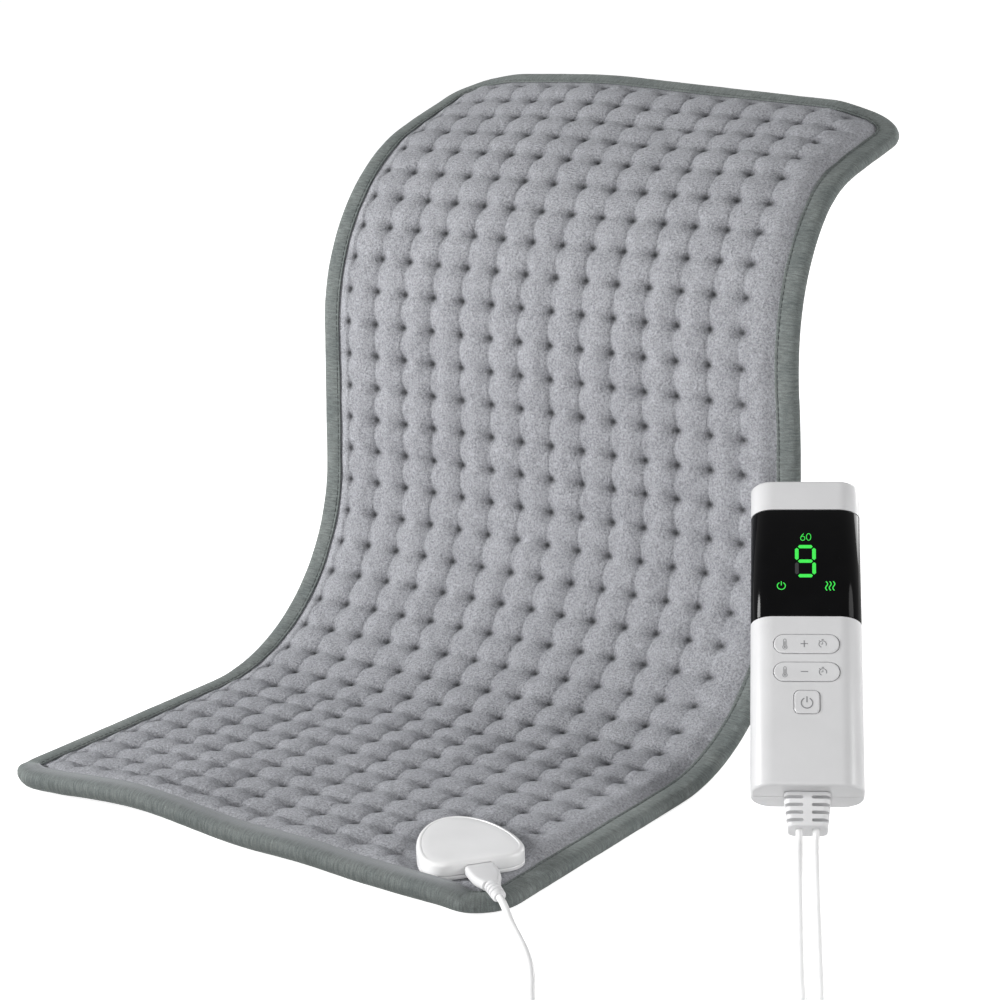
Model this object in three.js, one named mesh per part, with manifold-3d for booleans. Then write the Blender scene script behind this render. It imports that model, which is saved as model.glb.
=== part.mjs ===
// A heating pad with its wired controller. The quilted pad stands in an S, as over the seat
// and back of a chair. A lead plugs into the socket on its front corner and runs to the hand
// controller, which leans on the pad's right edge, and the mains lead is wound up and tied.
// Millimetres, +Z up, +Y to the back. The origin is the middle of the flat underside.
import * as THREE from 'three';
import { mergeVertices } from 'three/addons/utils/BufferGeometryUtils.js';
import Module from 'manifold-3d';

// Pad outline and the S that it stands in
const PAD_WIDTH = 311;
const PAD_LENGTH = 610;
const CORNER_RADIUS = 25;
const SEAT_LENGTH = 161;
const SEAT_BEND_RADIUS = 110;
const SEAT_BEND_DEGREES = 87;
const BACK_LENGTH = 76;
const TOP_BEND_RADIUS = 112;
const TOP_BEND_DEGREES = 66;
const TWIST_START = 400;
const TWIST_RIGHT_DROP = 14;
const TWIST_LEFT_RISE = 5;
const TOP_GATHER = 9;

// Pad layers, from the underside up; heights are over the floor of the sewn dimples
const QUILT_HEIGHT = 6;
const LAYER_GAP = 0.3;
const BACK_FLEECE_THICKNESS = 2.4;
const FELT_THICKNESS = 1;
const WIRE_DIAMETER = 1.2;
const FLEECE_AT_DIMPLE = 0.7;
const FLEECE_AT_SEAM = 0.4;
const CROWN_HEIGHT = 4;
const BORDER_CROWN_HEIGHT = 2.2;
const PRESSED_CROWN_HEIGHT = 0.5;
const BINDING_WIDTH = 12;
const BINDING_THICKNESS = 1;
const BINDING_ROUNDING = 2.5;
const BINDING_FOLD_GAP = 0.9;
const BINDING_LIFT = 0.3;

// Dimples
const DIMPLE_COLUMNS = 14;
const DIMPLE_ROWS = 32;
const LEFT_MARGIN = 19;
const RIGHT_MARGIN = 31.35;
const FRONT_MARGIN = 25;
const BACK_MARGIN = 17.7;
const COLUMN_PITCH = (PAD_WIDTH - LEFT_MARGIN - RIGHT_MARGIN) / (DIMPLE_COLUMNS - 1);
const ROW_PITCH = (PAD_LENGTH - FRONT_MARGIN - BACK_MARGIN) / (DIMPLE_ROWS - 1);

// Heating wire, which crosses the pad under every second row of dimples
const WIRE_MARGIN = 47.5;
const WIRE_RUN_HALF = PAD_WIDTH / 2 - WIRE_MARGIN;
const WIRE_FIRST_ROW = 1;
const WIRE_ROW_STEP = 2;
const WIRE_SIDES = 4;
const CUTOUT_SIZE = [16, 6, 1.1];
const CUTOUT_X = 60;
const CUTOUT_ROW = 2;

// Socket on the pad's front right corner; its axis is the way that the plug leaves it
const SOCKET_EDGE_DISTANCE = 42;
const SOCKET_X = PAD_WIDTH / 2 - SOCKET_EDGE_DISTANCE;
const SOCKET_FRONT_DISTANCE = 39.9;
const SOCKET_Y = -SEAT_LENGTH / 2 + SOCKET_FRONT_DISTANCE;
const SOCKET_TURN_DEGREES = -38;
const SOCKET_FRONT = 20;
const SOCKET_BACK = 34;
const SOCKET_HALF_WIDTH = 25;
const SOCKET_LIFT = 1;
const SOCKET_BASE_THICKNESS = 2;
const SOCKET_HEIGHT = 8.6;
const SOCKET_WALL = 1.8;
const SOCKET_ROOF = 1.4;
const SOCKET_RIM = 2.4;
const SOCKET_RIM_DEPTH = 0.4;
const PRESS_MARGIN = 14;

// Plug of the pad's lead
const PLUG_AXIS_HEIGHT = 11.2;
const PLUG_MOUTH_WIDTH = 14.4;
const PLUG_NECK_WIDTH = 9;
const PLUG_THICKNESS = 5;
const PLUG_GRIP_LENGTH = 20;
const PLUG_TAPER_START = 13;
const PLUG_NOSE_LENGTH = 11;
const PLUG_NOSE_ROOT = 2;
const PLUG_FIT = 0.35;
const PLUG_TRAVEL = 16;
const PIN_RADIUS = 0.75;
const PIN_SPACING = 6;
const PIN_LENGTH = 9;
const SLEEVE_WALL = 0.4;
const BOOT_LENGTH = 12.5;
const BOOT_RIBS = 4;
const BOOT_RIB_RADIUS = 3.2;
const BOOT_CORE_RADIUS = 2.4;

// Cords
const CORD_DIAMETER = 3.4;
const CORD_SIDES = 8;
const CORD_STEP = 2.6;
const JOIN_GAP = 0.3;

// Coil of the mains lead
const COIL_DISTANCE = 245;
const COIL_LAYERS = 4;
const COIL_TURNS_PER_LAYER = 3;
const COIL_MEAN_RADIUS = 20.4;
const COIL_GAP = 0.6;
const COIL_STEPS = 24;
const COIL_SIDES = 6;
const TIE_THICKNESS = 1.2;
const TIE_WIDTH = 7;
const TIE_FIT = 0.5;
const TIE_DEGREES = 60;
const TAIL_LENGTH = 48;

// Mains plug
const MAINS_PLUG_SIZE = [24, 30, 12];
const MAINS_PLUG_TAPER = 5;
const MAINS_BOOT_LENGTH = 22;
const MAINS_BOOT_RIBS = 4;
const MAINS_BOOT_RIB_RADIUS = 3.9;
const MAINS_BOOT_CORE_RADIUS = 2.9;
const BLADE_SIZE = [1.5, 17.5, 6.4];
const BLADE_SPACING = 12.7;
const BLADE_ROOT = 6;
const BLADE_FIT = 0.3;

// Controller housing: x across, y along its length from its lower end, z out of its face
const BODY_WIDTH = 54;
const BODY_LENGTH = 164;
const BODY_DEPTH = 28;
const BODY_ROUNDING = 11;
const BODY_END_BEVEL = 1.6;
const WALL = 2.8;
const PARTING_GAP = 0.3;
const LENS_END_DISTANCE = 16.4;
const LENS_LENGTH = 59.3;
const LENS_TOP = BODY_LENGTH - LENS_END_DISTANCE;
const LENS_BOTTOM = LENS_TOP - LENS_LENGTH;
const LENS_THICKNESS = 1.4;
const LENS_FIT = 0.3;
const DISPLAY_SIZE = [32, 42];
const DISPLAY_CLEARANCE = 1;

// Controller pose: leaning back against the pad's right edge
const LEAN_DEGREES = 45;
const YAW_DEGREES = 30;
const LEAN_TOUCH_X = -7;
const LEAN_CLEARANCE = 0.6;
const FLOOR_CLEARANCE = 0.3;

// Keys
const ROCKER_LENGTH = 31.4;
const ROCKER_HEIGHT = 10;
const LENS_TO_ROCKER = 14.9;
const ROCKER_PITCH = 14.8;
const ROCKER_TO_POWER = 15.9;
const PLUS_ROCKER_Y = LENS_BOTTOM - LENS_TO_ROCKER;
const MINUS_ROCKER_Y = PLUS_ROCKER_Y - ROCKER_PITCH;
const POWER_KEY_SIZE = 12;
const POWER_KEY_ROUNDING = 2.6;
const POWER_KEY_Y = MINUS_ROCKER_Y - ROCKER_TO_POWER;
const KEY_PROUD = 0.5;
const KEY_DEPTH = 3.4;
const KEY_FIT = 0.35;
const PIVOT_RADIUS = 1;
const PIVOT_OVERHANG = 1.6;
const FLANGE_OVERHANG = 1.2;
const FLANGE_THICKNESS = 0.9;

// Circuit board and what is on it
const BOARD_BOTTOM = 22;
const BOARD_END_DISTANCE = 18;
const BOARD_TOP = BODY_LENGTH - BOARD_END_DISTANCE;
const BOARD_THICKNESS = 1.6;
const BOARD_CLEARANCE = 0.4;
const BOARD_FRONT_Z = 6;
const SWITCH_SIZE = 6;
const ROCKER_SWITCH_X = 11;
const SWITCH_CLEARANCE = 0.9;
const RELAY_SIZE = [16, 19, 10];
const RELAY_DROP = 11.4;
const RELAY_AT = [8, PLUS_ROCKER_Y - RELAY_DROP];
const CAPACITOR_RADIUS = 5;
const CAPACITOR_LENGTH = 18;
const CAPACITOR_DROP = 13.4;
const CAPACITOR_AT = [-10, PLUS_ROCKER_Y - CAPACITOR_DROP];
const CLAMP_SIZE = [22, 5, 4];
const CLAMP_Y = 13;

// Housing screws
const SCREW_SIDE_DISTANCE = 10;
const SCREW_X = BODY_WIDTH / 2 - SCREW_SIDE_DISTANCE;
const SCREW_END_DISTANCE = 9;
const SCREW_HEAD_RADIUS = 2.6;
const SCREW_HEAD_HEIGHT = 2.2;
const SCREW_SHANK_RADIUS = 1.2;
const SCREW_FIT = 0.3;
const SCREW_SEAT_DEPTH = 5;
const SCREW_GRIP = 6;
const BOSS_WALL = 1.6;

// Strain relief under the controller
const RELIEF_TOP_WIDTH = 22.4;
const RELIEF_END_WIDTH = 19;
const RELIEF_LENGTH = 17.4;
const RELIEF_DEPTH = 14;
const RELIEF_SLOT_ROWS = 4;
const RELIEF_SLOT_HEIGHT = 1.7;
const RELIEF_SLOT_DEPTH = 4;
const RELIEF_SPINE = 3.8;
const NECK_SIZE = [16, 10];
const NECK_FLANGE = 2;
const NECK_FLANGE_THICKNESS = 3;
const CORD_SPACING = 7.9;
const CORD_FORWARD = 1.5;

// Routes of the pad's lead, chosen by hand: from the plug, measured from the pad's front right
// corner; then its turn and its loop back to the controller, measured from its exit there
const PAD_LEAD_PLUG_ROUTE = [
  [0.2, 6.9, 11.2], [3.4, 4.4, 10.9], [8, 0.9, 9.2], [13.5, -3.2, 6.3], [20, -7.5, 3.5],
  [27.5, -13.5, 2.1], [34.5, -20.5, 1.9], [41.5, -28.5, 1.9], [49.5, -39, 1.9], [57.9, -50.9, 1.9],
];
const PAD_LEAD_TURN_ROUTE = [
  [2.9, -218, 1.9], [22.3, -227.6, 1.9], [43.8, -229, 1.9], [60, -224.6, 1.9], [64.3, -222.1, 1.9],
];
const PAD_LEAD_LOOP_ROUTE = [
  [64.65, -221.9, 1.9], [69, -219.4, 1.9], [80.5, -207.8, 1.9], [90.1, -188.4, 1.9],
  [91.5, -166.9, 1.9], [84.6, -146.4, 1.9],
];
const STRAIGHT_RUN = [30, 55, 80, 105, 130, 150];

const radians = THREE.MathUtils.degToRad;
const wasm = await Module();
wasm.setup();

// Solids and meshes

// A closed mesh of bare positions: shared corners merged, slivers of no area dropped, faces out
function closed(geometry) {
  const bare = geometry.clone();
  for (const name of Object.keys(bare.attributes)) {
    if (name !== 'position') bare.deleteAttribute(name);
  }
  const merged = mergeVertices(bare, 1e-4);
  const old = merged.index.array;
  const index = [];
  for (let i = 0; i < old.length; i += 3) {
    const [a, b, c] = [old[i], old[i + 1], old[i + 2]];
    if (a !== b && b !== c && c !== a) index.push(a, b, c);
  }
  const corner = (i) => new THREE.Vector3().fromBufferAttribute(merged.attributes.position, i);
  let volume = 0;
  for (let i = 0; i < index.length; i += 3) {
    const normal = corner(index[i + 1]).cross(corner(index[i + 2]));
    volume += corner(index[i]).dot(normal);
  }
  if (volume < 0) index.reverse();
  merged.setIndex(index);
  return merged;
}

function solid(geometry) {
  const mesh = closed(geometry);
  const vertProperties = new Float32Array(mesh.attributes.position.array);
  const triVerts = new Uint32Array(mesh.index.array);
  return new wasm.Manifold(new wasm.Mesh({ numProp: 3, vertProperties, triVerts }));
}

function geometryOf(body) {
  const mesh = body.getMesh();
  const geometry = new THREE.BufferGeometry();
  geometry.setAttribute('position', new THREE.Float32BufferAttribute(mesh.vertProperties, 3));
  geometry.setIndex(Array.from(mesh.triVerts));
  return geometry;
}

function finish(color, roughness, metalness = 0) {
  return new THREE.MeshStandardMaterial({ color, roughness, metalness });
}

const fleeceFinish = () => finish(0x8b8f95, 0.95);
const bindingFinish = () => finish(0x7d8482, 0.9);
const feltFinish = () => finish(0xe4e2dc, 0.95);
const whitePlastic = () => finish(0xf0f0f0, 0.35);
const whiteRubber = () => finish(0xe8e8e8, 0.55);
const blackGloss = () => finish(0x0a0a0c, 0.06);
const darkPlastic = () => finish(0x1c1d20, 0.5);
const boardFinish = () => finish(0x1d5c39, 0.5);
const steel = () => finish(0xb9bcc0, 0.3, 1);
const brass = () => finish(0xc9a657, 0.3, 1);

function addMesh(group, name, geometry, material) {
  const ready = closed(geometry);
  ready.computeVertexNormals();
  const mesh = new THREE.Mesh(ready, material);
  mesh.name = name;
  group.add(mesh);
}

// A block between two corners
function block(low, high) {
  const size = high.map((value, i) => value - low[i]);
  const middle = high.map((value, i) => (value + low[i]) / 2);
  return solid(new THREE.BoxGeometry(...size).translate(...middle));
}

// A rod from a start point, along x, y or z
function rod(start, axis, length, radius, sides = 10) {
  const geometry = new THREE.CylinderGeometry(radius, radius, length, sides);
  geometry.translate(0, length / 2, 0);
  if (axis === 'x') geometry.rotateZ(-Math.PI / 2);
  if (axis === 'z') geometry.rotateX(Math.PI / 2);
  return solid(geometry.translate(...start));
}

function extrude(shape, depth, curveSegments = 4) {
  return new THREE.ExtrudeGeometry(shape, { depth, bevelEnabled: false, curveSegments });
}

function roundedRectangle(width, height, radius) {
  const [w, h] = [width / 2, height / 2];
  const shape = new THREE.Shape();
  shape.moveTo(w, -h + radius);
  shape.absarc(w - radius, h - radius, radius, 0, Math.PI / 2);
  shape.absarc(-w + radius, h - radius, radius, Math.PI / 2, Math.PI);
  shape.absarc(-w + radius, -h + radius, radius, Math.PI, 1.5 * Math.PI);
  shape.absarc(w - radius, -h + radius, radius, 1.5 * Math.PI, 2 * Math.PI);
  return shape;
}

function polygonShape(sides, radius) {
  const corners = [];
  for (let i = 0; i < sides; i++) {
    const angle = (2 * Math.PI * (i + 0.5)) / sides;
    corners.push(new THREE.Vector2(radius * Math.cos(angle), radius * Math.sin(angle)));
  }
  return new THREE.Shape(corners);
}

// Collects corners and faces of a mesh that is built by hand
class Faces {
  constructor() {
    this.positions = [];
    this.index = [];
  }

  corner(point) {
    this.positions.push(point.x, point.y, point.z);
    return this.positions.length / 3 - 1;
  }

  fan(...ring) {
    for (let i = 2; i < ring.length; i++) this.index.push(ring[0], ring[i - 1], ring[i]);
  }

  // Faces between two rings of corners with the same count
  band(lower, upper) {
    lower.forEach((corner, i) => {
      const next = (i + 1) % lower.length;
      this.fan(corner, lower[next], upper[next], upper[i]);
    });
  }

  geometry() {
    const geometry = new THREE.BufferGeometry();
    geometry.setAttribute('position', new THREE.Float32BufferAttribute(this.positions, 3));
    geometry.setIndex(this.index);
    return geometry;
  }
}

// A closed tube through the points, with a section that keeps facing one way
function tube(points, radius, sides, facing) {
  const faces = new Faces();
  const rings = points.map((point, k) => {
    const before = points[Math.max(k - 1, 0)];
    const after = points[Math.min(k + 1, points.length - 1)];
    const along = after.clone().sub(before).normalize();
    const up = facing(k).clone();
    up.addScaledVector(along, -up.dot(along)).normalize();
    const side = along.clone().cross(up);
    return Array.from({ length: sides }, (_, i) => {
      const angle = (2 * Math.PI * i) / sides;
      const corner = point.clone().addScaledVector(up, radius * Math.cos(angle));
      return faces.corner(corner.addScaledVector(side, radius * Math.sin(angle)));
    });
  });
  for (let k = 1; k < rings.length; k++) faces.band(rings[k - 1], rings[k]);
  faces.fan(...rings[0].slice().reverse());
  faces.fan(...rings[rings.length - 1]);
  return faces.geometry();
}

// A cord's tube along a smooth curve through its route
function cord(route) {
  const path = new THREE.CatmullRomCurve3(route.map((point) => new THREE.Vector3(...point)));
  const steps = Math.round(path.getLength() / (CORD_STEP * CORD_DIAMETER));
  const section = polygonShape(CORD_SIDES, CORD_DIAMETER / 2);
  return new THREE.ExtrudeGeometry(section, { steps, extrudePath: path, bevelEnabled: false });
}

// A ribbed boot on the y axis: its start, its length, ribs that shrink towards the cord
function ribbedBoot(start, length, ribs, ribRadius, coreRadius) {
  const pitch = length / ribs;
  const profile = [new THREE.Vector2(0, start)];
  for (let i = 0; i < ribs; i++) {
    const outer = ribRadius - ((ribRadius - coreRadius) * i) / ribs / 2;
    const inner = outer - (ribRadius - coreRadius) / 2;
    const low = start + i * pitch;
    profile.push(new THREE.Vector2(outer, low), new THREE.Vector2(outer, low + pitch * 0.62));
    if (i < ribs - 1) {
      profile.push(new THREE.Vector2(inner, low + pitch * 0.62));
      profile.push(new THREE.Vector2(inner, low + pitch));
    }
  }
  const end = start + length;
  profile.push(new THREE.Vector2(coreRadius, end), new THREE.Vector2(0, end));
  return new THREE.LatheGeometry(profile, 10);
}

// The pad's sheet: x across it, s along it from the front edge, n out of the quilted face

const FIRST_COLUMN_X = -PAD_WIDTH / 2 + LEFT_MARGIN;
const ROWS = Array.from({ length: DIMPLE_ROWS }, (_, j) => FRONT_MARGIN + j * ROW_PITCH);
const COLUMNS = Array.from({ length: DIMPLE_COLUMNS }, (_, i) => FIRST_COLUMN_X + i * COLUMN_PITCH);
const PROFILE = [
  { length: SEAT_LENGTH, turn: 0 },
  { length: SEAT_BEND_RADIUS * radians(SEAT_BEND_DEGREES), turn: radians(SEAT_BEND_DEGREES) },
  { length: BACK_LENGTH, turn: 0 },
  { length: TOP_BEND_RADIUS * radians(TOP_BEND_DEGREES), turn: -radians(TOP_BEND_DEGREES) },
  { length: PAD_LENGTH, turn: 0 },
];

function profileAt(s) {
  let [y, z, angle, left] = [-SEAT_LENGTH / 2, QUILT_HEIGHT, 0, s];
  for (const { length, turn } of PROFILE) {
    const run = Math.min(left, length);
    const bend = (turn * run) / length;
    const chord = bend === 0 ? run : (run * Math.sin(bend / 2)) / (bend / 2);
    y += chord * Math.cos(angle + bend / 2);
    z += chord * Math.sin(angle + bend / 2);
    angle += bend;
    left -= run;
  }
  return { s, y, z, angle };
}

const STATIONS = [0, ...ROWS, PAD_LENGTH].map(profileAt);

// Rows where the sheet isn't straight along its length
const BENT_ROWS = ROWS.filter((s, j) => {
  const [before, after] = [STATIONS[j], STATIONS[j + 2]];
  return before.angle !== after.angle || (before.s < TWIST_START && after.s > TWIST_START);
});

function stationPoint(station, x, n) {
  const { s, y, z, angle } = station;
  const share = Math.max(0, (s - TWIST_START) / (PAD_LENGTH - TWIST_START));
  const across = x / PAD_WIDTH + 0.5;
  const rise = n + share * THREE.MathUtils.lerp(TWIST_LEFT_RISE, -TWIST_RIGHT_DROP, across);
  const gathered = x - TOP_GATHER * share * across;
  return new THREE.Vector3(gathered, y - rise * Math.sin(angle), z + rise * Math.cos(angle));
}

// Straight between stations, so that every layer of the pad has the same facets
function padPoint(x, s, n) {
  let k = 1;
  while (k < STATIONS.length - 1 && STATIONS[k].s < s) k++;
  const [before, after] = [STATIONS[k - 1], STATIONS[k]];
  const share = (s - before.s) / (after.s - before.s);
  return stationPoint(before, x, n).lerp(stationPoint(after, x, n), share);
}

// Half width of the pad's outline, drawn in by an inset, at a place along it
function halfWidthAt(s, inset) {
  const fromEnd = Math.min(s, PAD_LENGTH - s);
  if (fromEnd >= CORNER_RADIUS) return PAD_WIDTH / 2 - inset;
  const radius = CORNER_RADIUS - inset;
  const rise = Math.min(CORNER_RADIUS - fromEnd, radius);
  return PAD_WIDTH / 2 - CORNER_RADIUS + Math.sqrt(radius ** 2 - rise ** 2);
}

// Distance of the outline's end from the pad's end, at a place across it
function endInsetAt(x, inset) {
  const past = Math.abs(x) - (PAD_WIDTH / 2 - CORNER_RADIUS);
  if (past <= 0) return inset;
  return CORNER_RADIUS - Math.sqrt((CORNER_RADIUS - inset) ** 2 - past ** 2);
}

const CORNER_STEPS = [0, 22.5, 45, 67.5, 90];

// A face across the pad; where the pad twists it has a corner in its middle
function twistedQuad(faces, corners, s, n) {
  if (s < TWIST_START) {
    faces.fan(...corners);
    return;
  }
  const middle = faces.corner(padPoint(0, s, n));
  corners.forEach((corner, i) => faces.fan(corner, corners[(i + 1) % corners.length], middle));
}

// A flat layer of the pad
function sheet(inset, bottom, top) {
  const radius = CORNER_RADIUS - inset;
  const arc = CORNER_STEPS.map((step) => CORNER_RADIUS - radius * Math.cos(radians(step)));
  const between = ROWS.filter((s) => s > CORNER_RADIUS + 1 && s < PAD_LENGTH - CORNER_RADIUS - 1);
  const places = [...arc, ...between, ...arc.map((s) => PAD_LENGTH - s).reverse()];
  const faces = new Faces();
  const rings = places.map((s) => {
    const half = halfWidthAt(s, inset);
    const ring = [[-half, bottom], [half, bottom], [half, top], [-half, top]];
    return ring.map(([x, n]) => faces.corner(padPoint(x, s, n)));
  });
  for (let k = 1; k < rings.length; k++) {
    const [a, b] = [rings[k - 1], rings[k]];
    const middle = (places[k - 1] + places[k]) / 2;
    twistedQuad(faces, [a[0], a[1], b[1], b[0]], middle, bottom);
    faces.fan(a[1], a[2], b[2], b[1]);
    twistedQuad(faces, [a[2], a[3], b[3], b[2]], middle, top);
    faces.fan(a[3], a[0], b[0], b[3]);
  }
  faces.fan(...rings[0].slice().reverse());
  faces.fan(...rings[rings.length - 1]);
  return faces.geometry();
}

const SEAM_INSET = BINDING_WIDTH + LAYER_GAP;
const EDGE_INSET = BINDING_THICKNESS + BINDING_FOLD_GAP;
const BACK_TOP = -QUILT_HEIGHT + BACK_FLEECE_THICKNESS;
const BINDING_LOW = -QUILT_HEIGHT + BINDING_LIFT;
const BACK_SEAM = BINDING_LOW + BINDING_THICKNESS + LAYER_GAP;
const FELT_BOTTOM = BACK_TOP + LAYER_GAP;
const FELT_TOP = FELT_BOTTOM + FELT_THICKNESS;
const WIRE_N = (FELT_TOP - FLEECE_AT_DIMPLE) / 2;
const LIP_BOTTOM = FLEECE_AT_SEAM + LAYER_GAP;
const LIP_TOP = LIP_BOTTOM + BINDING_THICKNESS;

const socketTurn = radians(SOCKET_TURN_DEGREES);
const SOCKET_AXIS = new THREE.Vector2(Math.cos(socketTurn), Math.sin(socketTurn));

// The fleece is pressed flat under the socket and in the way of its plug
function crownAt(x, s, height) {
  const offset = new THREE.Vector2(x - SOCKET_X, s - SEAT_LENGTH / 2 - SOCKET_Y);
  const along = offset.dot(SOCKET_AXIS);
  const across = Math.abs(offset.cross(SOCKET_AXIS));
  const reach = SOCKET_FRONT + PLUG_GRIP_LENGTH + BOOT_LENGTH + PLUG_TRAVEL;
  const underSocket = across < SOCKET_HALF_WIDTH + PRESS_MARGIN
    && along > -SOCKET_BACK - PRESS_MARGIN && along < SOCKET_FRONT + PRESS_MARGIN;
  const underPlug = across < PLUG_MOUTH_WIDTH / 2 + PRESS_MARGIN
    && along > 0 && along < reach + PRESS_MARGIN;
  return underSocket || underPlug ? PRESSED_CROWN_HEIGHT : height;
}

// The quilted face: dimples at the crossings, a crown in each cell, a pressed border under
// the binding, and a plain underside
function frontFleece() {
  const faces = new Faces();
  const add = (x, s, n) => faces.corner(padPoint(x, s, n));
  const lastRow = DIMPLE_ROWS - 1;
  const lastColumn = DIMPLE_COLUMNS - 1;
  const dimples = ROWS.map((s) => COLUMNS.map((x) => add(x, s, 0)));

  // Places round an inset outline: front, right side, back, left side
  const outline = (inset) => {
    const diagonal = (CORNER_RADIUS - inset) * Math.SQRT1_2;
    const cornerX = PAD_WIDTH / 2 - CORNER_RADIUS + diagonal;
    const cornerS = CORNER_RADIUS - diagonal;
    const front = COLUMNS.map((x) => [x, endInsetAt(x, inset)]);
    const right = ROWS.map((s) => [halfWidthAt(s, inset), s]);
    const back = front.map(([x, s]) => [x, PAD_LENGTH - s]).reverse();
    const left = right.map(([x, s]) => [-x, s]).reverse();
    return [
      ...front, [cornerX, cornerS], ...right, [cornerX, PAD_LENGTH - cornerS],
      ...back, [-cornerX, PAD_LENGTH - cornerS], ...left, [-cornerX, cornerS],
    ];
  };
  const ring = (inset, n) => outline(inset).map(([x, s]) => add(x, s, n));
  const seam = ring(SEAM_INSET, FLEECE_AT_SEAM);
  const edge = ring(EDGE_INSET, FLEECE_AT_SEAM);
  const underEdge = ring(EDGE_INSET, -FLEECE_AT_DIMPLE);

  const crown = (a, b, c, d, height) => {
    const middle = [a, b, c, d].reduce(([x, s], [px, ps]) => [x + px / 4, s + ps / 4], [0, 0]);
    return add(...middle, crownAt(...middle, height));
  };
  const cell = (corners, places, height) => {
    const top = crown(...places, height);
    corners.forEach((corner, i) => faces.fan(corner, corners[(i + 1) % 4], top));
  };
  for (let j = 0; j < lastRow; j++) {
    for (let i = 0; i < lastColumn; i++) {
      const cells = [[j, i], [j, i + 1], [j + 1, i + 1], [j + 1, i]];
      const places = cells.map(([row, column]) => [COLUMNS[column], ROWS[row]]);
      cell(cells.map(([row, column]) => dimples[row][column]), places, CROWN_HEIGHT);
    }
  }

  // Border cells between the outer dimples and the seam, side by side round the pad
  const seamPlaces = outline(SEAM_INSET);
  const rim = [
    ...COLUMNS.map((x, i) => [0, i]), null, ...ROWS.map((s, j) => [j, lastColumn]), null,
    ...COLUMNS.map((x, i) => [lastRow, lastColumn - i]), null,
    ...ROWS.map((s, j) => [lastRow - j, 0]), null,
  ];
  rim.forEach((place, k) => {
    const next = (k + 1) % rim.length;
    if (place === null) {
      const [row, column] = rim[next];
      faces.fan(dimples[row][column], seam[k - 1], seam[k], seam[next]);
      return;
    }
    if (rim[next] === null) return;
    const [[row, column], [nextRow, nextColumn]] = [place, rim[next]];
    const corners = [seam[k], seam[next], dimples[nextRow][nextColumn], dimples[row][column]];
    const places = [
      seamPlaces[k], seamPlaces[next],
      [COLUMNS[nextColumn], ROWS[nextRow]], [COLUMNS[column], ROWS[row]],
    ];
    cell(corners, places, BORDER_CROWN_HEIGHT);
  });
  faces.band(edge, seam);
  faces.band(underEdge, edge);

  // Underside: strips between the rows, and a fan at each end
  const rightStart = DIMPLE_COLUMNS + 1;
  const backStart = rightStart + DIMPLE_ROWS + 1;
  const leftStart = backStart + DIMPLE_COLUMNS + 1;
  const right = (j) => underEdge[rightStart + j];
  const left = (j) => underEdge[leftStart + lastRow - j];
  for (let j = 0; j < lastRow; j++) {
    const middle = (ROWS[j] + ROWS[j + 1]) / 2;
    twistedQuad(faces, [left(j), left(j + 1), right(j + 1), right(j)], middle, -FLEECE_AT_DIMPLE);
  }
  const frontRing = [left(0), ...underEdge.slice(-1), ...underEdge.slice(0, rightStart + 1)];
  faces.fan(...frontRing.reverse());
  const backRing = underEdge.slice(rightStart + lastRow, leftStart + 1).reverse();
  twistedQuad(faces, backRing, (ROWS[lastRow] + PAD_LENGTH) / 2, -FLEECE_AT_DIMPLE);
  return faces.geometry();
}

// The folded strip round the pad's edge: a U in section, its mouth facing inwards
function edgeBinding() {
  const under = BINDING_LOW;
  const section = [
    [BINDING_WIDTH, under], [BINDING_ROUNDING, under], [0, under + BINDING_ROUNDING],
    [0, LIP_TOP - BINDING_ROUNDING], [BINDING_ROUNDING, LIP_TOP], [BINDING_WIDTH, LIP_TOP],
    [BINDING_WIDTH, LIP_BOTTOM], [BINDING_THICKNESS, LIP_BOTTOM],
    [BINDING_THICKNESS, under + BINDING_THICKNESS], [BINDING_WIDTH, under + BINDING_THICKNESS],
  ];
  const cornerX = PAD_WIDTH / 2 - CORNER_RADIUS;
  const backS = PAD_LENGTH - CORNER_RADIUS;
  const arc = (x, s, start) => CORNER_STEPS.map((step) => (inset) => {
    const angle = radians(start + step);
    const radius = CORNER_RADIUS - inset;
    return [x + radius * Math.cos(angle), s + radius * Math.sin(angle)];
  });
  const between = BENT_ROWS.filter((s) => s > CORNER_RADIUS + 1 && s < backS - 1);
  const side = (sign) => between.map((s) => (inset) => [sign * (PAD_WIDTH / 2 - inset), s]);
  const back = [0.5, 0, -0.5].map((share) => (inset) => [share * cornerX, PAD_LENGTH - inset]);
  const round = [
    ...arc(cornerX, CORNER_RADIUS, -90), ...side(1), ...arc(cornerX, backS, 0), ...back,
    ...arc(-cornerX, backS, 90), ...side(-1).reverse(), ...arc(-cornerX, CORNER_RADIUS, 180),
  ];
  const faces = new Faces();
  const rings = round.map((place) => section.map(([inset, n]) => {
    const [x, s] = place(inset);
    return faces.corner(padPoint(x, s, n));
  }));
  rings.forEach((ring, k) => faces.band(ring, rings[(k + 1) % rings.length]));
  return faces.geometry();
}

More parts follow.
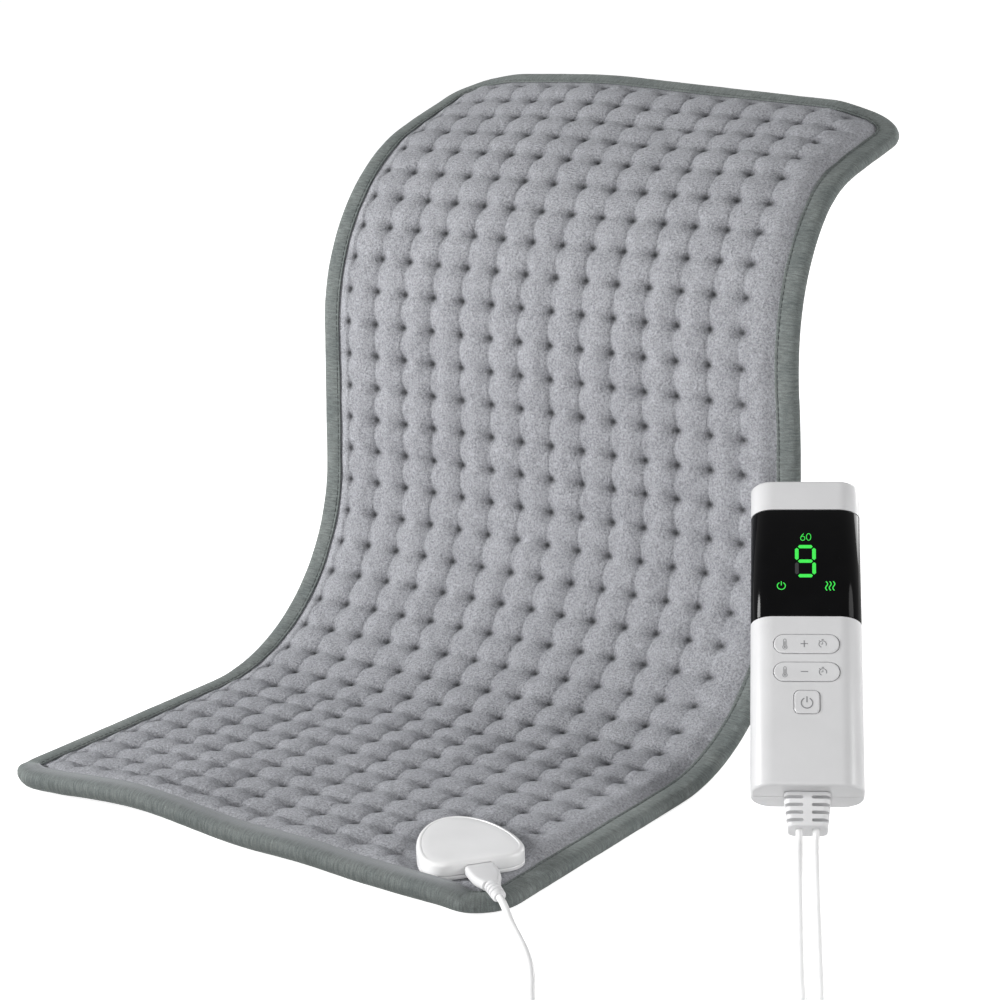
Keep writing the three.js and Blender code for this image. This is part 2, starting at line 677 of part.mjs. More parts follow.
// One wire to and fro across the pad, with a half round at the end of each run
function heatingWire() {
  const places = [];
  let sign = 1;
  for (let row = WIRE_FIRST_ROW; row < DIMPLE_ROWS; row += WIRE_ROW_STEP) {
    const s = ROWS[row];
    places.push([-sign * WIRE_RUN_HALF, s], [sign * WIRE_RUN_HALF, s]);
    const radius = (ROW_PITCH * WIRE_ROW_STEP) / 2;
    if (row + WIRE_ROW_STEP < DIMPLE_ROWS) {
      for (const step of [-60, -30, 0, 30, 60]) {
        const out = WIRE_RUN_HALF + radius * Math.cos(radians(step));
        places.push([sign * out, s + radius + radius * Math.sin(radians(step))]);
      }
    }
    sign = -sign;
  }
  const points = places.map(([x, s]) => padPoint(x, s, WIRE_N));
  const facing = (k) => padPoint(...places[k], WIRE_N + 1).sub(points[k]);
  return tube(points, WIRE_DIAMETER / 2, WIRE_SIDES, facing);
}

function addPad(part) {
  addMesh(part, 'front_fleece', frontFleece(), fleeceFinish());
  const seamSheet = solid(sheet(EDGE_INSET, BACK_SEAM, BACK_TOP));
  const middleSheet = solid(sheet(SEAM_INSET, -QUILT_HEIGHT, BACK_TOP));
  addMesh(part, 'back_fleece', geometryOf(seamSheet.add(middleSheet)), fleeceFinish());
  addMesh(part, 'felt_core', sheet(EDGE_INSET, FELT_BOTTOM, FELT_TOP), feltFinish());
  addMesh(part, 'heating_wire', heatingWire(), darkPlastic());
  addMesh(part, 'edge_binding', edgeBinding(), bindingFinish());
  const [length, width, thickness] = CUTOUT_SIZE;
  const cutout = new THREE.BoxGeometry(length, width, thickness);
  cutout.translate(...padPoint(CUTOUT_X, ROWS[CUTOUT_ROW], WIRE_N).toArray());
  addMesh(part, 'thermal_cutout', cutout, steel());
}

// Socket and plug: x across, y along the plug's axis away from the socket, z up

// The socket's outline in plan: flat where the plug goes in, an egg's end at the back
function eggShape(inset) {
  const front = SOCKET_FRONT - inset;
  const back = -SOCKET_BACK + inset;
  const half = SOCKET_HALF_WIDTH - inset;
  const shape = new THREE.Shape();
  shape.moveTo(-half * 0.5, front);
  shape.bezierCurveTo(-half * 0.9, front, -half, front * 0.62, -half * 0.98, front * 0.28);
  shape.bezierCurveTo(-half * 0.94, back * 0.42, -half * 0.5, back, 0, back);
  shape.bezierCurveTo(half * 0.5, back, half * 0.94, back * 0.42, half * 0.98, front * 0.28);
  shape.bezierCurveTo(half, front * 0.62, half * 0.9, front, half * 0.5, front);
  shape.closePath();
  return shape;
}

function egg(inset, low, high) {
  return solid(extrude(eggShape(inset), high - low, 8).translate(0, 0, low));
}

const SOCKET_LOW = QUILT_HEIGHT + SOCKET_LIFT;
const SOCKET_COVER_LOW = SOCKET_LOW + SOCKET_BASE_THICKNESS + LAYER_GAP;
const SOCKET_TOP = SOCKET_LOW + SOCKET_HEIGHT;
const NOSE_WIDTH = PLUG_MOUTH_WIDTH - 2 * SOCKET_WALL;
const NOSE_THICKNESS = PLUG_THICKNESS - SOCKET_WALL / 2;
const MOUTH_GAP = 0.4;
const PIN_BLOCK_LENGTH = 4;
const PIN_HOLE_DEPTH = 3;
const SLEEVE_RADIUS = PIN_RADIUS + PLUG_FIT + SLEEVE_WALL;
const pinPlaces = [-PIN_SPACING / 2, PIN_SPACING / 2];

function addSocket(group) {
  const baseTop = SOCKET_LOW + SOCKET_BASE_THICKNESS;
  const blockHalf = PIN_SPACING / 2 + 2 * PIN_RADIUS;
  const blockTop = PLUG_AXIS_HEIGHT + 2 * PIN_RADIUS;
  const noseEnd = SOCKET_FRONT - PLUG_NOSE_LENGTH;
  const blockFront = noseEnd - JOIN_GAP;
  let base = egg(0, SOCKET_LOW, baseTop);
  const blockBack = blockFront - PIN_BLOCK_LENGTH;
  base = base.add(block([-blockHalf, blockBack, SOCKET_LOW], [blockHalf, blockFront, blockTop]));
  const noseHalf = NOSE_WIDTH / 2 + PLUG_FIT;
  const noseLow = PLUG_AXIS_HEIGHT - NOSE_THICKNESS / 2 - PLUG_FIT;
  const noseHigh = PLUG_AXIS_HEIGHT + NOSE_THICKNESS / 2 + PLUG_FIT;
  const noseRoom = block([-noseHalf, noseEnd - JOIN_GAP, noseLow], [noseHalf, SOCKET_FRONT + 1, noseHigh]);
  for (const x of pinPlaces) {
    const start = [x, blockFront - PIN_HOLE_DEPTH, PLUG_AXIS_HEIGHT];
    base = base.subtract(rod(start, 'y', PIN_HOLE_DEPTH + 1, PIN_RADIUS + JOIN_GAP, 8));
  }
  addMesh(group, 'socket_base', geometryOf(base.subtract(noseRoom)), whitePlastic());

  let cover = egg(0, SOCKET_COVER_LOW, SOCKET_TOP);
  cover = cover.subtract(egg(SOCKET_WALL, SOCKET_COVER_LOW - 1, SOCKET_TOP - SOCKET_ROOF));
  cover = cover.subtract(egg(SOCKET_RIM, SOCKET_TOP - SOCKET_RIM_DEPTH, SOCKET_TOP + 1));
  addMesh(group, 'socket_cover', geometryOf(cover.subtract(noseRoom)), whitePlastic());

  pinPlaces.forEach((x, i) => {
    const start = [x, blockFront - PIN_HOLE_DEPTH + JOIN_GAP, PLUG_AXIS_HEIGHT];
    const pin = rod(start, 'y', PIN_LENGTH, PIN_RADIUS, 8);
    addMesh(group, `socket_pin_${i + 1}`, geometryOf(pin), brass());
  });
}

function addPadPlug(group) {
  const start = SOCKET_FRONT + MOUTH_GAP;
  const noseEnd = SOCKET_FRONT - PLUG_NOSE_LENGTH;
  const gripEnd = start + PLUG_GRIP_LENGTH;
  const plan = new THREE.Shape();
  const [wide, narrow] = [PLUG_MOUTH_WIDTH / 2, PLUG_NECK_WIDTH / 2];
  plan.moveTo(-wide, start);
  plan.lineTo(wide, start);
  plan.lineTo(wide - 0.8, start + PLUG_TAPER_START);
  plan.lineTo(narrow, gripEnd);
  plan.lineTo(-narrow, gripEnd);
  plan.lineTo(-wide + 0.8, start + PLUG_TAPER_START);
  plan.closePath();
  const low = PLUG_AXIS_HEIGHT - PLUG_THICKNESS / 2;
  let body = solid(extrude(plan, PLUG_THICKNESS).translate(0, 0, low));
  const noseLow = PLUG_AXIS_HEIGHT - NOSE_THICKNESS / 2;
  const noseHigh = PLUG_AXIS_HEIGHT + NOSE_THICKNESS / 2;
  const noseRoot = start + PLUG_NOSE_ROOT;
  body = body.add(block([-NOSE_WIDTH / 2, noseEnd, noseLow], [NOSE_WIDTH / 2, noseRoot, noseHigh]));
  const bore = SLEEVE_RADIUS + LAYER_GAP;
  const sleeveLength = PIN_LENGTH;
  for (const x of pinPlaces) {
    const mouth = [x, noseEnd - 1, PLUG_AXIS_HEIGHT];
    body = body.subtract(rod(mouth, 'y', sleeveLength + 1 + JOIN_GAP, bore, 12));
  }
  addMesh(group, 'plug_body', geometryOf(body), whiteRubber());

  const inner = PIN_RADIUS + PLUG_FIT;
  pinPlaces.forEach((x, i) => {
    const wall = [
      [inner, 0], [SLEEVE_RADIUS, 0], [SLEEVE_RADIUS, sleeveLength], [inner, sleeveLength], [inner, 0],
    ];
    const sleeve = new THREE.LatheGeometry(wall.map((point) => new THREE.Vector2(...point)), 10);
    sleeve.translate(x, noseEnd, PLUG_AXIS_HEIGHT);
    addMesh(group, `plug_contact_${i + 1}`, sleeve, brass());
  });

  const boot = ribbedBoot(gripEnd + JOIN_GAP, BOOT_LENGTH, BOOT_RIBS, BOOT_RIB_RADIUS, BOOT_CORE_RADIUS);
  addMesh(group, 'plug_boot', boot.translate(0, 0, PLUG_AXIS_HEIGHT), whiteRubber());
}

// Controller: x across, y up its length from the housing's lower end, z out of its face

const FACE_Z = BODY_DEPTH / 2;
const INSIDE_Z = FACE_Z - WALL;
const BOARD_BACK_Z = BOARD_FRONT_Z - BOARD_THICKNESS;
const KEY_TOP_Z = FACE_Z + KEY_PROUD;
const KEY_BOTTOM_Z = KEY_TOP_Z - KEY_DEPTH;
const PIVOT_Z = INSIDE_Z - PIVOT_RADIUS - 0.2;
const FLANGE_TOP_Z = INSIDE_Z - LAYER_GAP;
const FLANGE_BOTTOM_Z = FLANGE_TOP_Z - FLANGE_THICKNESS;
const screwPlaces = [
  [-SCREW_X, SCREW_END_DISTANCE], [SCREW_X, SCREW_END_DISTANCE],
  [-SCREW_X, BODY_LENGTH - SCREW_END_DISTANCE], [SCREW_X, BODY_LENGTH - SCREW_END_DISTANCE],
];

// A length of the housing's section, drawn in by an inset
function housing(inset, low, high, bevel = 0) {
  const radius = BODY_ROUNDING - inset;
  const shape = roundedRectangle(BODY_WIDTH - 2 * inset, BODY_DEPTH - 2 * inset, radius);
  const options = {
    depth: high - low - 2 * bevel,
    curveSegments: 4,
    bevelEnabled: bevel > 0,
    bevelThickness: bevel,
    bevelSize: bevel,
    bevelOffset: -bevel,
    bevelSegments: 1,
  };
  const geometry = new THREE.ExtrudeGeometry(shape, options).translate(0, 0, low + bevel);
  return solid(geometry.rotateX(-Math.PI / 2));
}

function halfSpace(side) {
  const edge = PARTING_GAP / 2;
  const far = BODY_DEPTH;
  const low = [-BODY_WIDTH, -BODY_LENGTH, side > 0 ? edge : -far];
  const high = [BODY_WIDTH, 2 * BODY_LENGTH, side > 0 ? far : -edge];
  return block(low, high);
}

function flatPrism(shape, x, y, low, high, curveSegments = 5) {
  return solid(extrude(shape, high - low, curveSegments).translate(x, y, low));
}

const rockerShape = (grow) => roundedRectangle(
  ROCKER_LENGTH + 2 * grow, ROCKER_HEIGHT + 2 * grow, ROCKER_HEIGHT / 2 + grow - 0.01);
const powerShape = (grow) => roundedRectangle(
  POWER_KEY_SIZE + 2 * grow, POWER_KEY_SIZE + 2 * grow, POWER_KEY_ROUNDING + grow);

function neckOpening() {
  const half = NECK_SIZE[0] / 2 + LAYER_GAP;
  const deep = NECK_SIZE[1] / 2 + LAYER_GAP;
  return block([-half, -1, -deep], [half, WALL + 1, deep]);
}

function addHousing(group) {
  const outer = housing(0, 0, BODY_LENGTH, BODY_END_BEVEL);
  const cavity = housing(WALL, WALL, BODY_LENGTH - WALL);
  const shell = outer.subtract(cavity).subtract(neckOpening());

  let front = shell.intersect(halfSpace(1));
  const band = block([-BODY_WIDTH, LENS_BOTTOM, 0], [BODY_WIDTH, LENS_TOP, BODY_DEPTH]);
  const lensFloor = housing(LENS_THICKNESS + LENS_FIT, 0, BODY_LENGTH);
  front = front.subtract(band.subtract(lensFloor));
  const middle = (LENS_BOTTOM + LENS_TOP) / 2;
  const [windowX, windowY] = DISPLAY_SIZE.map((size) => size / 2 + DISPLAY_CLEARANCE);
  front = front.subtract(block([-windowX, middle - windowY, 0], [windowX, middle + windowY, BODY_DEPTH]));
  for (const y of [PLUS_ROCKER_Y, MINUS_ROCKER_Y]) {
    front = front.subtract(flatPrism(rockerShape(KEY_FIT), 0, y, 0, BODY_DEPTH));
  }
  front = front.subtract(flatPrism(powerShape(KEY_FIT), 0, POWER_KEY_Y, 0, BODY_DEPTH));

  let rear = shell.intersect(halfSpace(-1));
  const seatZ = -FACE_Z + SCREW_SEAT_DEPTH;
  const shankHole = SCREW_SHANK_RADIUS + SCREW_FIT;
  const headHole = SCREW_HEAD_RADIUS + SCREW_FIT;
  const edge = PARTING_GAP / 2;
  for (const [x, y] of screwPlaces) {
    front = front.add(rod([x, y, edge], 'z', INSIDE_Z - edge + 1, shankHole + BOSS_WALL));
    front = front.subtract(rod([x, y, 0], 'z', SCREW_GRIP + SCREW_FIT, shankHole));
    rear = rear.add(rod([x, y, -INSIDE_Z - 1], 'z', INSIDE_Z + 1 - edge, headHole + BOSS_WALL));
    rear = rear.subtract(rod([x, y, -BODY_DEPTH], 'z', BODY_DEPTH, shankHole));
    rear = rear.subtract(rod([x, y, -BODY_DEPTH], 'z', BODY_DEPTH + seatZ, headHole));
  }
  addMesh(group, 'front_shell', geometryOf(front), whitePlastic());
  addMesh(group, 'rear_shell', geometryOf(rear), whitePlastic());

  const lensBand = block(
    [-BODY_WIDTH, LENS_BOTTOM + LENS_FIT, edge], [BODY_WIDTH, LENS_TOP - LENS_FIT, BODY_DEPTH]);
  const skin = housing(0, 0, BODY_LENGTH).subtract(housing(LENS_THICKNESS, -1, BODY_LENGTH + 1));
  addMesh(group, 'display_lens', geometryOf(skin.intersect(lensBand)), blackGloss());

  screwPlaces.forEach(([x, y], i) => {
    const headZ = seatZ - JOIN_GAP - SCREW_HEAD_HEIGHT;
    const head = rod([x, y, headZ], 'z', SCREW_HEAD_HEIGHT, SCREW_HEAD_RADIUS);
    const shank = rod([x, y, seatZ - 1], 'z', SCREW_GRIP - seatZ + 1, SCREW_SHANK_RADIUS, 10);
    addMesh(group, `housing_screw_${i + 1}`, geometryOf(head.add(shank)), steel());
  });
}

function addElectronics(group) {
  const insideRounding = BODY_ROUNDING - WALL;
  const rise = BOARD_FRONT_Z - INSIDE_Z + insideRounding;
  const reach = Math.sqrt(insideRounding ** 2 - rise ** 2);
  const boardHalf = BODY_WIDTH / 2 - BODY_ROUNDING + reach - BOARD_CLEARANCE;
  const board = block([-boardHalf, BOARD_BOTTOM, BOARD_BACK_Z], [boardHalf, BOARD_TOP, BOARD_FRONT_Z]);
  addMesh(group, 'circuit_board', geometryOf(board), boardFinish());

  const onBoard = BOARD_FRONT_Z + LAYER_GAP;
  const rockerTop = KEY_BOTTOM_Z - SWITCH_CLEARANCE;
  const powerTop = FLANGE_BOTTOM_Z - SWITCH_CLEARANCE;
  const switches = [
    ['plus_heat_switch', -ROCKER_SWITCH_X, PLUS_ROCKER_Y, rockerTop],
    ['plus_time_switch', ROCKER_SWITCH_X, PLUS_ROCKER_Y, rockerTop],
    ['minus_heat_switch', -ROCKER_SWITCH_X, MINUS_ROCKER_Y, rockerTop],
    ['minus_time_switch', ROCKER_SWITCH_X, MINUS_ROCKER_Y, rockerTop],
    ['power_switch', 0, POWER_KEY_Y, powerTop],
  ];
  const side = SWITCH_SIZE / 2;
  for (const [name, x, y, top] of switches) {
    const can = block([x - side, y - side, onBoard], [x + side, y + side, top - 0.6]);
    const plunger = rod([x, y, onBoard], 'z', top - onBoard, side / 2, 12);
    addMesh(group, name, geometryOf(can.add(plunger)), darkPlastic());
  }

  const middle = (LENS_BOTTOM + LENS_TOP) / 2;
  const [moduleX, moduleY] = DISPLAY_SIZE.map((size) => size / 2);
  const moduleTop = FACE_Z - LENS_THICKNESS - 0.5;
  const module = block([-moduleX, middle - moduleY, onBoard], [moduleX, middle + moduleY, moduleTop]);
  addMesh(group, 'display_module', geometryOf(module), darkPlastic());

  const behind = BOARD_BACK_Z - LAYER_GAP;
  const [relayX, relayY] = RELAY_AT;
  const [relayWidth, relayLength, relayDepth] = RELAY_SIZE;
  const relay = block(
    [relayX - relayWidth / 2, relayY - relayLength / 2, behind - relayDepth],
    [relayX + relayWidth / 2, relayY + relayLength / 2, behind]);
  addMesh(group, 'relay', geometryOf(relay), darkPlastic());
  const [capX, capY] = CAPACITOR_AT;
  const capStart = [capX, capY - CAPACITOR_LENGTH / 2, behind - CAPACITOR_RADIUS];
  const capacitor = rod(capStart, 'y', CAPACITOR_LENGTH, CAPACITOR_RADIUS);
  addMesh(group, 'capacitor', geometryOf(capacitor), darkPlastic());
  const [clampWidth, clampLength, clampDepth] = CLAMP_SIZE;
  const clampLow = -INSIDE_Z + LAYER_GAP;
  const clamp = block(
    [-clampWidth / 2, CLAMP_Y - clampLength / 2, clampLow],
    [clampWidth / 2, CLAMP_Y + clampLength / 2, clampLow + clampDepth]);
  addMesh(group, 'cord_clamp', geometryOf(clamp), darkPlastic());
}

function addKeys(group) {
  const rockers = [['plus_rocker', PLUS_ROCKER_Y], ['minus_rocker', MINUS_ROCKER_Y]];
  for (const [name, y] of rockers) {
    const cap = flatPrism(rockerShape(0), 0, y, KEY_BOTTOM_Z, KEY_TOP_Z);
    const reach = ROCKER_HEIGHT / 2 + KEY_FIT + PIVOT_OVERHANG;
    const pivot = rod([0, y - reach, PIVOT_Z], 'y', 2 * reach, PIVOT_RADIUS, 10);
    const ribHalf = ROCKER_HEIGHT / 2 - 1;
    const rib = block([-PIVOT_RADIUS, y - ribHalf, PIVOT_Z], [PIVOT_RADIUS, y + ribHalf, KEY_BOTTOM_Z + 1]);
    addMesh(group, name, geometryOf(cap.add(rib).add(pivot)), whitePlastic());
  }
  const cap = flatPrism(powerShape(0), 0, POWER_KEY_Y, FLANGE_BOTTOM_Z, KEY_TOP_Z);
  const flange = flatPrism(powerShape(FLANGE_OVERHANG), 0, POWER_KEY_Y, FLANGE_BOTTOM_Z, FLANGE_TOP_Z);
  addMesh(group, 'power_key', geometryOf(cap.add(flange)), whitePlastic());
}

function addStrainRelief(group) {
  const [top, end] = [-JOIN_GAP, -RELIEF_LENGTH];
  const plan = new THREE.Shape();
  plan.moveTo(-RELIEF_TOP_WIDTH / 2, top);
  plan.lineTo(-RELIEF_END_WIDTH / 2, end);
  plan.lineTo(RELIEF_END_WIDTH / 2, end);
  plan.lineTo(RELIEF_TOP_WIDTH / 2, top);
  plan.closePath();
  const deep = RELIEF_DEPTH / 2;
  let relief = flatPrism(plan, 0, 0, -deep, deep);
  const pitch = RELIEF_LENGTH / (RELIEF_SLOT_ROWS + 0.5);
  for (let i = 0; i < RELIEF_SLOT_ROWS; i++) {
    const y = -pitch * (i + 0.75);
    for (const sign of [-1, 1]) {
      const width = RELIEF_TOP_WIDTH;
      const x = sign * (RELIEF_SPINE / 2 + width / 2);
      for (const face of [-1, 1]) {
        const z = face * (deep - RELIEF_SLOT_DEPTH / 2 + 0.5);
        const slot = new THREE.BoxGeometry(width, RELIEF_SLOT_HEIGHT, RELIEF_SLOT_DEPTH + 1);
        relief = relief.subtract(solid(slot.translate(x, y, z)));
      }
    }
  }
  const [neckX, neckZ] = NECK_SIZE.map((size) => size / 2);
  const flangeLow = WALL + LAYER_GAP;
  relief = relief.add(block([-neckX, top - 1, -neckZ], [neckX, flangeLow + 1, neckZ]));
  relief = relief.add(block(
    [-neckX - NECK_FLANGE, flangeLow, -neckZ - NECK_FLANGE],
    [neckX + NECK_FLANGE, flangeLow + NECK_FLANGE_THICKNESS, neckZ + NECK_FLANGE]));
  addMesh(group, 'strain_relief', geometryOf(relief), whiteRubber());
}

// The controller's lower end rests on the floor and the top edge of its back on the pad's edge
const tilt = radians(90 - LEAN_DEGREES);
const yaw = radians(YAW_DEGREES);
const controllerTurn = new THREE.Matrix4().makeRotationZ(yaw);
controllerTurn.multiply(new THREE.Matrix4().makeRotationX(tilt));
const turned = (x, y, z) => new THREE.Vector3(x, y, z).applyMatrix4(controllerTurn);

function controllerPlace() {
  const heel = turned(0, -RELIEF_LENGTH, -RELIEF_DEPTH / 2);
  const touch = turned(LEAN_TOUCH_X, BODY_LENGTH - BODY_END_BEVEL, -FACE_Z);
  const z = FLOOR_CLEARANCE - heel.z;
  let s = SEAT_LENGTH;
  const edge = () => padPoint(PAD_WIDTH / 2 - BINDING_ROUNDING, s, LIP_TOP);
  while (edge().z < z + touch.z) s += 0.1;
  const at = edge();
  return new THREE.Vector3(at.x - touch.x, at.y - LEAN_CLEARANCE - touch.y, z);
}

const CONTROLLER_AT = controllerPlace();

const CORD_FLOOR_Z = CORD_DIAMETER / 2 + 0.2;
const AHEAD = new THREE.Vector3(Math.sin(yaw), -Math.cos(yaw), 0);

// Where a cord leaves the strain relief, on the left or the right
function cordExit(side) {
  const local = [side * (CORD_SPACING / 2), -RELIEF_LENGTH - JOIN_GAP, CORD_FORWARD];
  return turned(...local).add(CONTROLLER_AT);
}

// The cord's straight run on the floor, at a distance in front of its exit
function floorRun(side, distance) {
  const point = cordExit(side).addScaledVector(AHEAD, distance);
  point.z = CORD_FLOOR_Z;
  return point;
}

// The bend that lays the cord on the floor, and its straight run
function controllerRun(side) {
  const fall = radians(90 - LEAN_DEGREES);
  const radius = (cordExit(side).z - CORD_FLOOR_Z) / (1 - Math.cos(fall));
  const bend = [1, 0.75, 0.5, 0.25, 0].map((share) => {
    const angle = fall * share;
    const point = floorRun(side, radius * (Math.sin(fall) - Math.sin(angle)));
    point.z += radius * (1 - Math.cos(angle));
    return point;
  });
  const run = STRAIGHT_RUN.map((distance) => floorRun(side, distance));
  return [...bend, ...run].map((point) => point.toArray());
}

// Coil: turns spiral in and out at a steady rate and climb a layer at each reversal
const COIL_PITCH = CORD_DIAMETER + COIL_GAP;
const COIL_OUTER = COIL_MEAN_RADIUS + (COIL_PITCH * COIL_TURNS_PER_LAYER) / 2;
const COIL_LOW = TIE_THICKNESS + TIE_FIT + CORD_DIAMETER / 2 + FLOOR_CLEARANCE;
const COIL_TOP = COIL_LOW + COIL_PITCH * (COIL_LAYERS - 1);
const COIL_SIDEWAYS = new THREE.Vector3(Math.cos(yaw), Math.sin(yaw), 0);
const COIL_CENTRE = floorRun(1, COIL_DISTANCE).addScaledVector(COIL_SIDEWAYS, COIL_OUTER);

function coilPoint(turns) {
  const layer = turns / COIL_TURNS_PER_LAYER;
  const wave = Math.abs(layer % 2 - 1);
  const radius = COIL_OUTER - COIL_PITCH * COIL_TURNS_PER_LAYER * (1 - wave);
  let z = COIL_LOW;
  for (let k = 1; k < COIL_LAYERS; k++) {
    const climb = THREE.MathUtils.clamp((turns - k * COIL_TURNS_PER_LAYER) * 2 + 0.5, 0, 1);
    z += COIL_PITCH * climb;
  }
  const angle = Math.PI + yaw + 2 * Math.PI * turns;
  const { x, y } = COIL_CENTRE;
  return new THREE.Vector3(x + radius * Math.cos(angle), y + radius * Math.sin(angle), z);
}

function coilPoints() {
  const turns = COIL_LAYERS * COIL_TURNS_PER_LAYER;
  const points = [];
  for (let i = 0; i <= turns * COIL_STEPS; i++) points.push(coilPoint(i / COIL_STEPS));
  const first = points[0].clone().addScaledVector(AHEAD, -CORD_DIAMETER);
  const last = points[points.length - 1].clone().addScaledVector(AHEAD, CORD_DIAMETER);
  return [first, ...points, last];
}

function leastCoilGap(points) {
  let least = Infinity;
  points.forEach((point, i) => {
    for (let k = i + COIL_STEPS / 2; k < points.length; k++) {
      least = Math.min(least, point.distanceTo(points[k]));
    }
  });
  return least - CORD_DIAMETER;
}

function addCoil(part) {
  const points = coilPoints();
  console.log(`least gap of the coil to itself: ${leastCoilGap(points).toFixed(2)} mm`);
  const up = new THREE.Vector3(0, 0, 1);
  addMesh(part, 'mains_coil', tube(points, CORD_DIAMETER / 2, COIL_SIDES, () => up), whiteRubber());

  // The tie goes round all the turns at one place
  const reach = CORD_DIAMETER / 2 + TIE_FIT;
  const inner = COIL_OUTER - COIL_PITCH * COIL_TURNS_PER_LAYER - reach;
  const outer = COIL_OUTER + reach;
  const [low, high] = [COIL_LOW - reach, COIL_TOP + reach];
  const half = TIE_WIDTH / 2;
  const room = block([inner, -half - 1, low], [outer, half + 1, high]);
  const band = block(
    [inner - TIE_THICKNESS, -half, low - TIE_THICKNESS],
    [outer + TIE_THICKNESS, half, high + TIE_THICKNESS]);
  const tie = geometryOf(band.subtract(room)).rotateZ(radians(TIE_DEGREES));
  addMesh(part, 'coil_tie', tie.translate(COIL_CENTRE.x, COIL_CENTRE.y, 0), darkPlastic());
}

// Mains plug: y along the cord, from the boot to the blades
const MAINS_PLUG_AT = coilPoints().at(-1).addScaledVector(AHEAD, TAIL_LENGTH + 2 * JOIN_GAP);
const MAINS_AXIS_HEIGHT = MAINS_PLUG_SIZE[2] / 2 + FLOOR_CLEARANCE;

function addMainsPlug(part) {
  const group = new THREE.Group();
  group.position.set(MAINS_PLUG_AT.x, MAINS_PLUG_AT.y, 0);
  group.rotation.z = yaw - Math.PI;
  part.add(group);
  const [width, length, height] = MAINS_PLUG_SIZE;
  const [half, start] = [width / 2, MAINS_BOOT_LENGTH + JOIN_GAP];
  const end = start + length;
  const plan = new THREE.Shape();
  plan.moveTo(-half + MAINS_PLUG_TAPER, start);
  plan.lineTo(half - MAINS_PLUG_TAPER, start);
  plan.quadraticCurveTo(half, start + MAINS_PLUG_TAPER, half, start + length / 2);
  plan.lineTo(half, end);
  plan.lineTo(-half, end);
  plan.lineTo(-half, start + length / 2);
  plan.quadraticCurveTo(-half, start + MAINS_PLUG_TAPER, -half + MAINS_PLUG_TAPER, start);
  let body = solid(extrude(plan, height).translate(0, 0, FLOOR_CLEARANCE));
  const [bladeX, bladeY, bladeZ] = BLADE_SIZE.map((size) => size / 2);
  const places = [-BLADE_SPACING / 2, BLADE_SPACING / 2];
  for (const x of places) {
    body = body.subtract(block(
      [x - bladeX - BLADE_FIT, end - BLADE_ROOT, MAINS_AXIS_HEIGHT - bladeZ - BLADE_FIT],
      [x + bladeX + BLADE_FIT, end + 1, MAINS_AXIS_HEIGHT + bladeZ + BLADE_FIT]));
  }
  addMesh(group, 'mains_plug_body', geometryOf(body), whiteRubber());
  places.forEach((x, i) => {
    const low = end - BLADE_ROOT + BLADE_FIT;
    const blade = block(
      [x - bladeX, low, MAINS_AXIS_HEIGHT - bladeZ],
      [x + bladeX, low + 2 * bladeY + BLADE_ROOT - BLADE_FIT, MAINS_AXIS_HEIGHT + bladeZ]);
    addMesh(group, `mains_plug_blade_${i + 1}`, geometryOf(blade), brass());
  });
  const boot = ribbedBoot(
    0, -MAINS_BOOT_LENGTH, MAINS_BOOT_RIBS, MAINS_BOOT_RIB_RADIUS, MAINS_BOOT_CORE_RADIUS);
  boot.translate(0, MAINS_BOOT_LENGTH, MAINS_AXIS_HEIGHT);
  addMesh(group, 'mains_plug_boot', boot, whiteRubber());
}

function addCords(part) {
  const corner = new THREE.Vector3(PAD_WIDTH / 2, -SEAT_LENGTH / 2, 0);
  const exit = cordExit(-1).setZ(0);
  const from = (start, route) => route.map((point) => new THREE.Vector3(...point).add(start).toArray());
  const plugRoute = [...from(corner, PAD_LEAD_PLUG_ROUTE), ...from(exit, PAD_LEAD_TURN_ROUTE)];
  addMesh(part, 'pad_lead_plug_end', cord(plugRoute), whiteRubber());
  const loopRoute = [...from(exit, PAD_LEAD_LOOP_ROUTE), ...controllerRun(-1).reverse()];
  addMesh(part, 'pad_lead_controller_end', cord(loopRoute), whiteRubber());
  const coilStart = coilPoints()[0].addScaledVector(AHEAD, -JOIN_GAP);
  const intoCoil = [-6, -3, -1, 0].map((diameters) => {
    const point = coilStart.clone().addScaledVector(AHEAD, diameters * CORD_DIAMETER);
    point.z = THREE.MathUtils.lerp(coilStart.z, CORD_FLOOR_Z, THREE.MathUtils.smoothstep(-diameters, 1, 6));
    return point.toArray();
  });
  addMesh(part, 'mains_lead', cord([...controllerRun(1), ...intoCoil]), whiteRubber());
  const tailStart = coilPoints().at(-1).addScaledVector(AHEAD, JOIN_GAP);
  const plugEnd = MAINS_PLUG_AT.clone().addScaledVector(AHEAD, -JOIN_GAP);
  const tail = [0, 0.08, 0.25, 0.42, 0.58, 0.75, 0.92, 1].map((share) => {
    const point = tailStart.clone().lerp(plugEnd, share);
    const ease = THREE.MathUtils.smoothstep(share, 0.08, 0.92);
    point.z = THREE.MathUtils.lerp(tailStart.z, MAINS_AXIS_HEIGHT, ease);
    return point.toArray();
  });
  addMesh(part, 'mains_tail', cord(tail), whiteRubber());
}

function build() {
  const part = new THREE.Group();
  addPad(part);

  const socket = new THREE.Group();
  socket.position.set(SOCKET_X, SOCKET_Y, 0);
  socket.rotation.z = socketTurn - Math.PI / 2;
  part.add(socket);
  addSocket(socket);
  addPadPlug(socket);

  const stand = new THREE.Group();
  stand.position.copy(CONTROLLER_AT);
  stand.rotation.z = yaw;
  part.add(stand);
  const controller = new THREE.Group();
  controller.rotation.x = tilt;
  stand.add(controller);
  addHousing(controller);
  addElectronics(controller);
  addKeys(controller);
  addStrainRelief(controller);

  addCoil(part);
  addMainsPlug(part);
  addCords(part);
  return part;
}

export default build();
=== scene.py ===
import math

import bmesh
import bpy
import numpy as np
from mathutils import Matrix, Vector


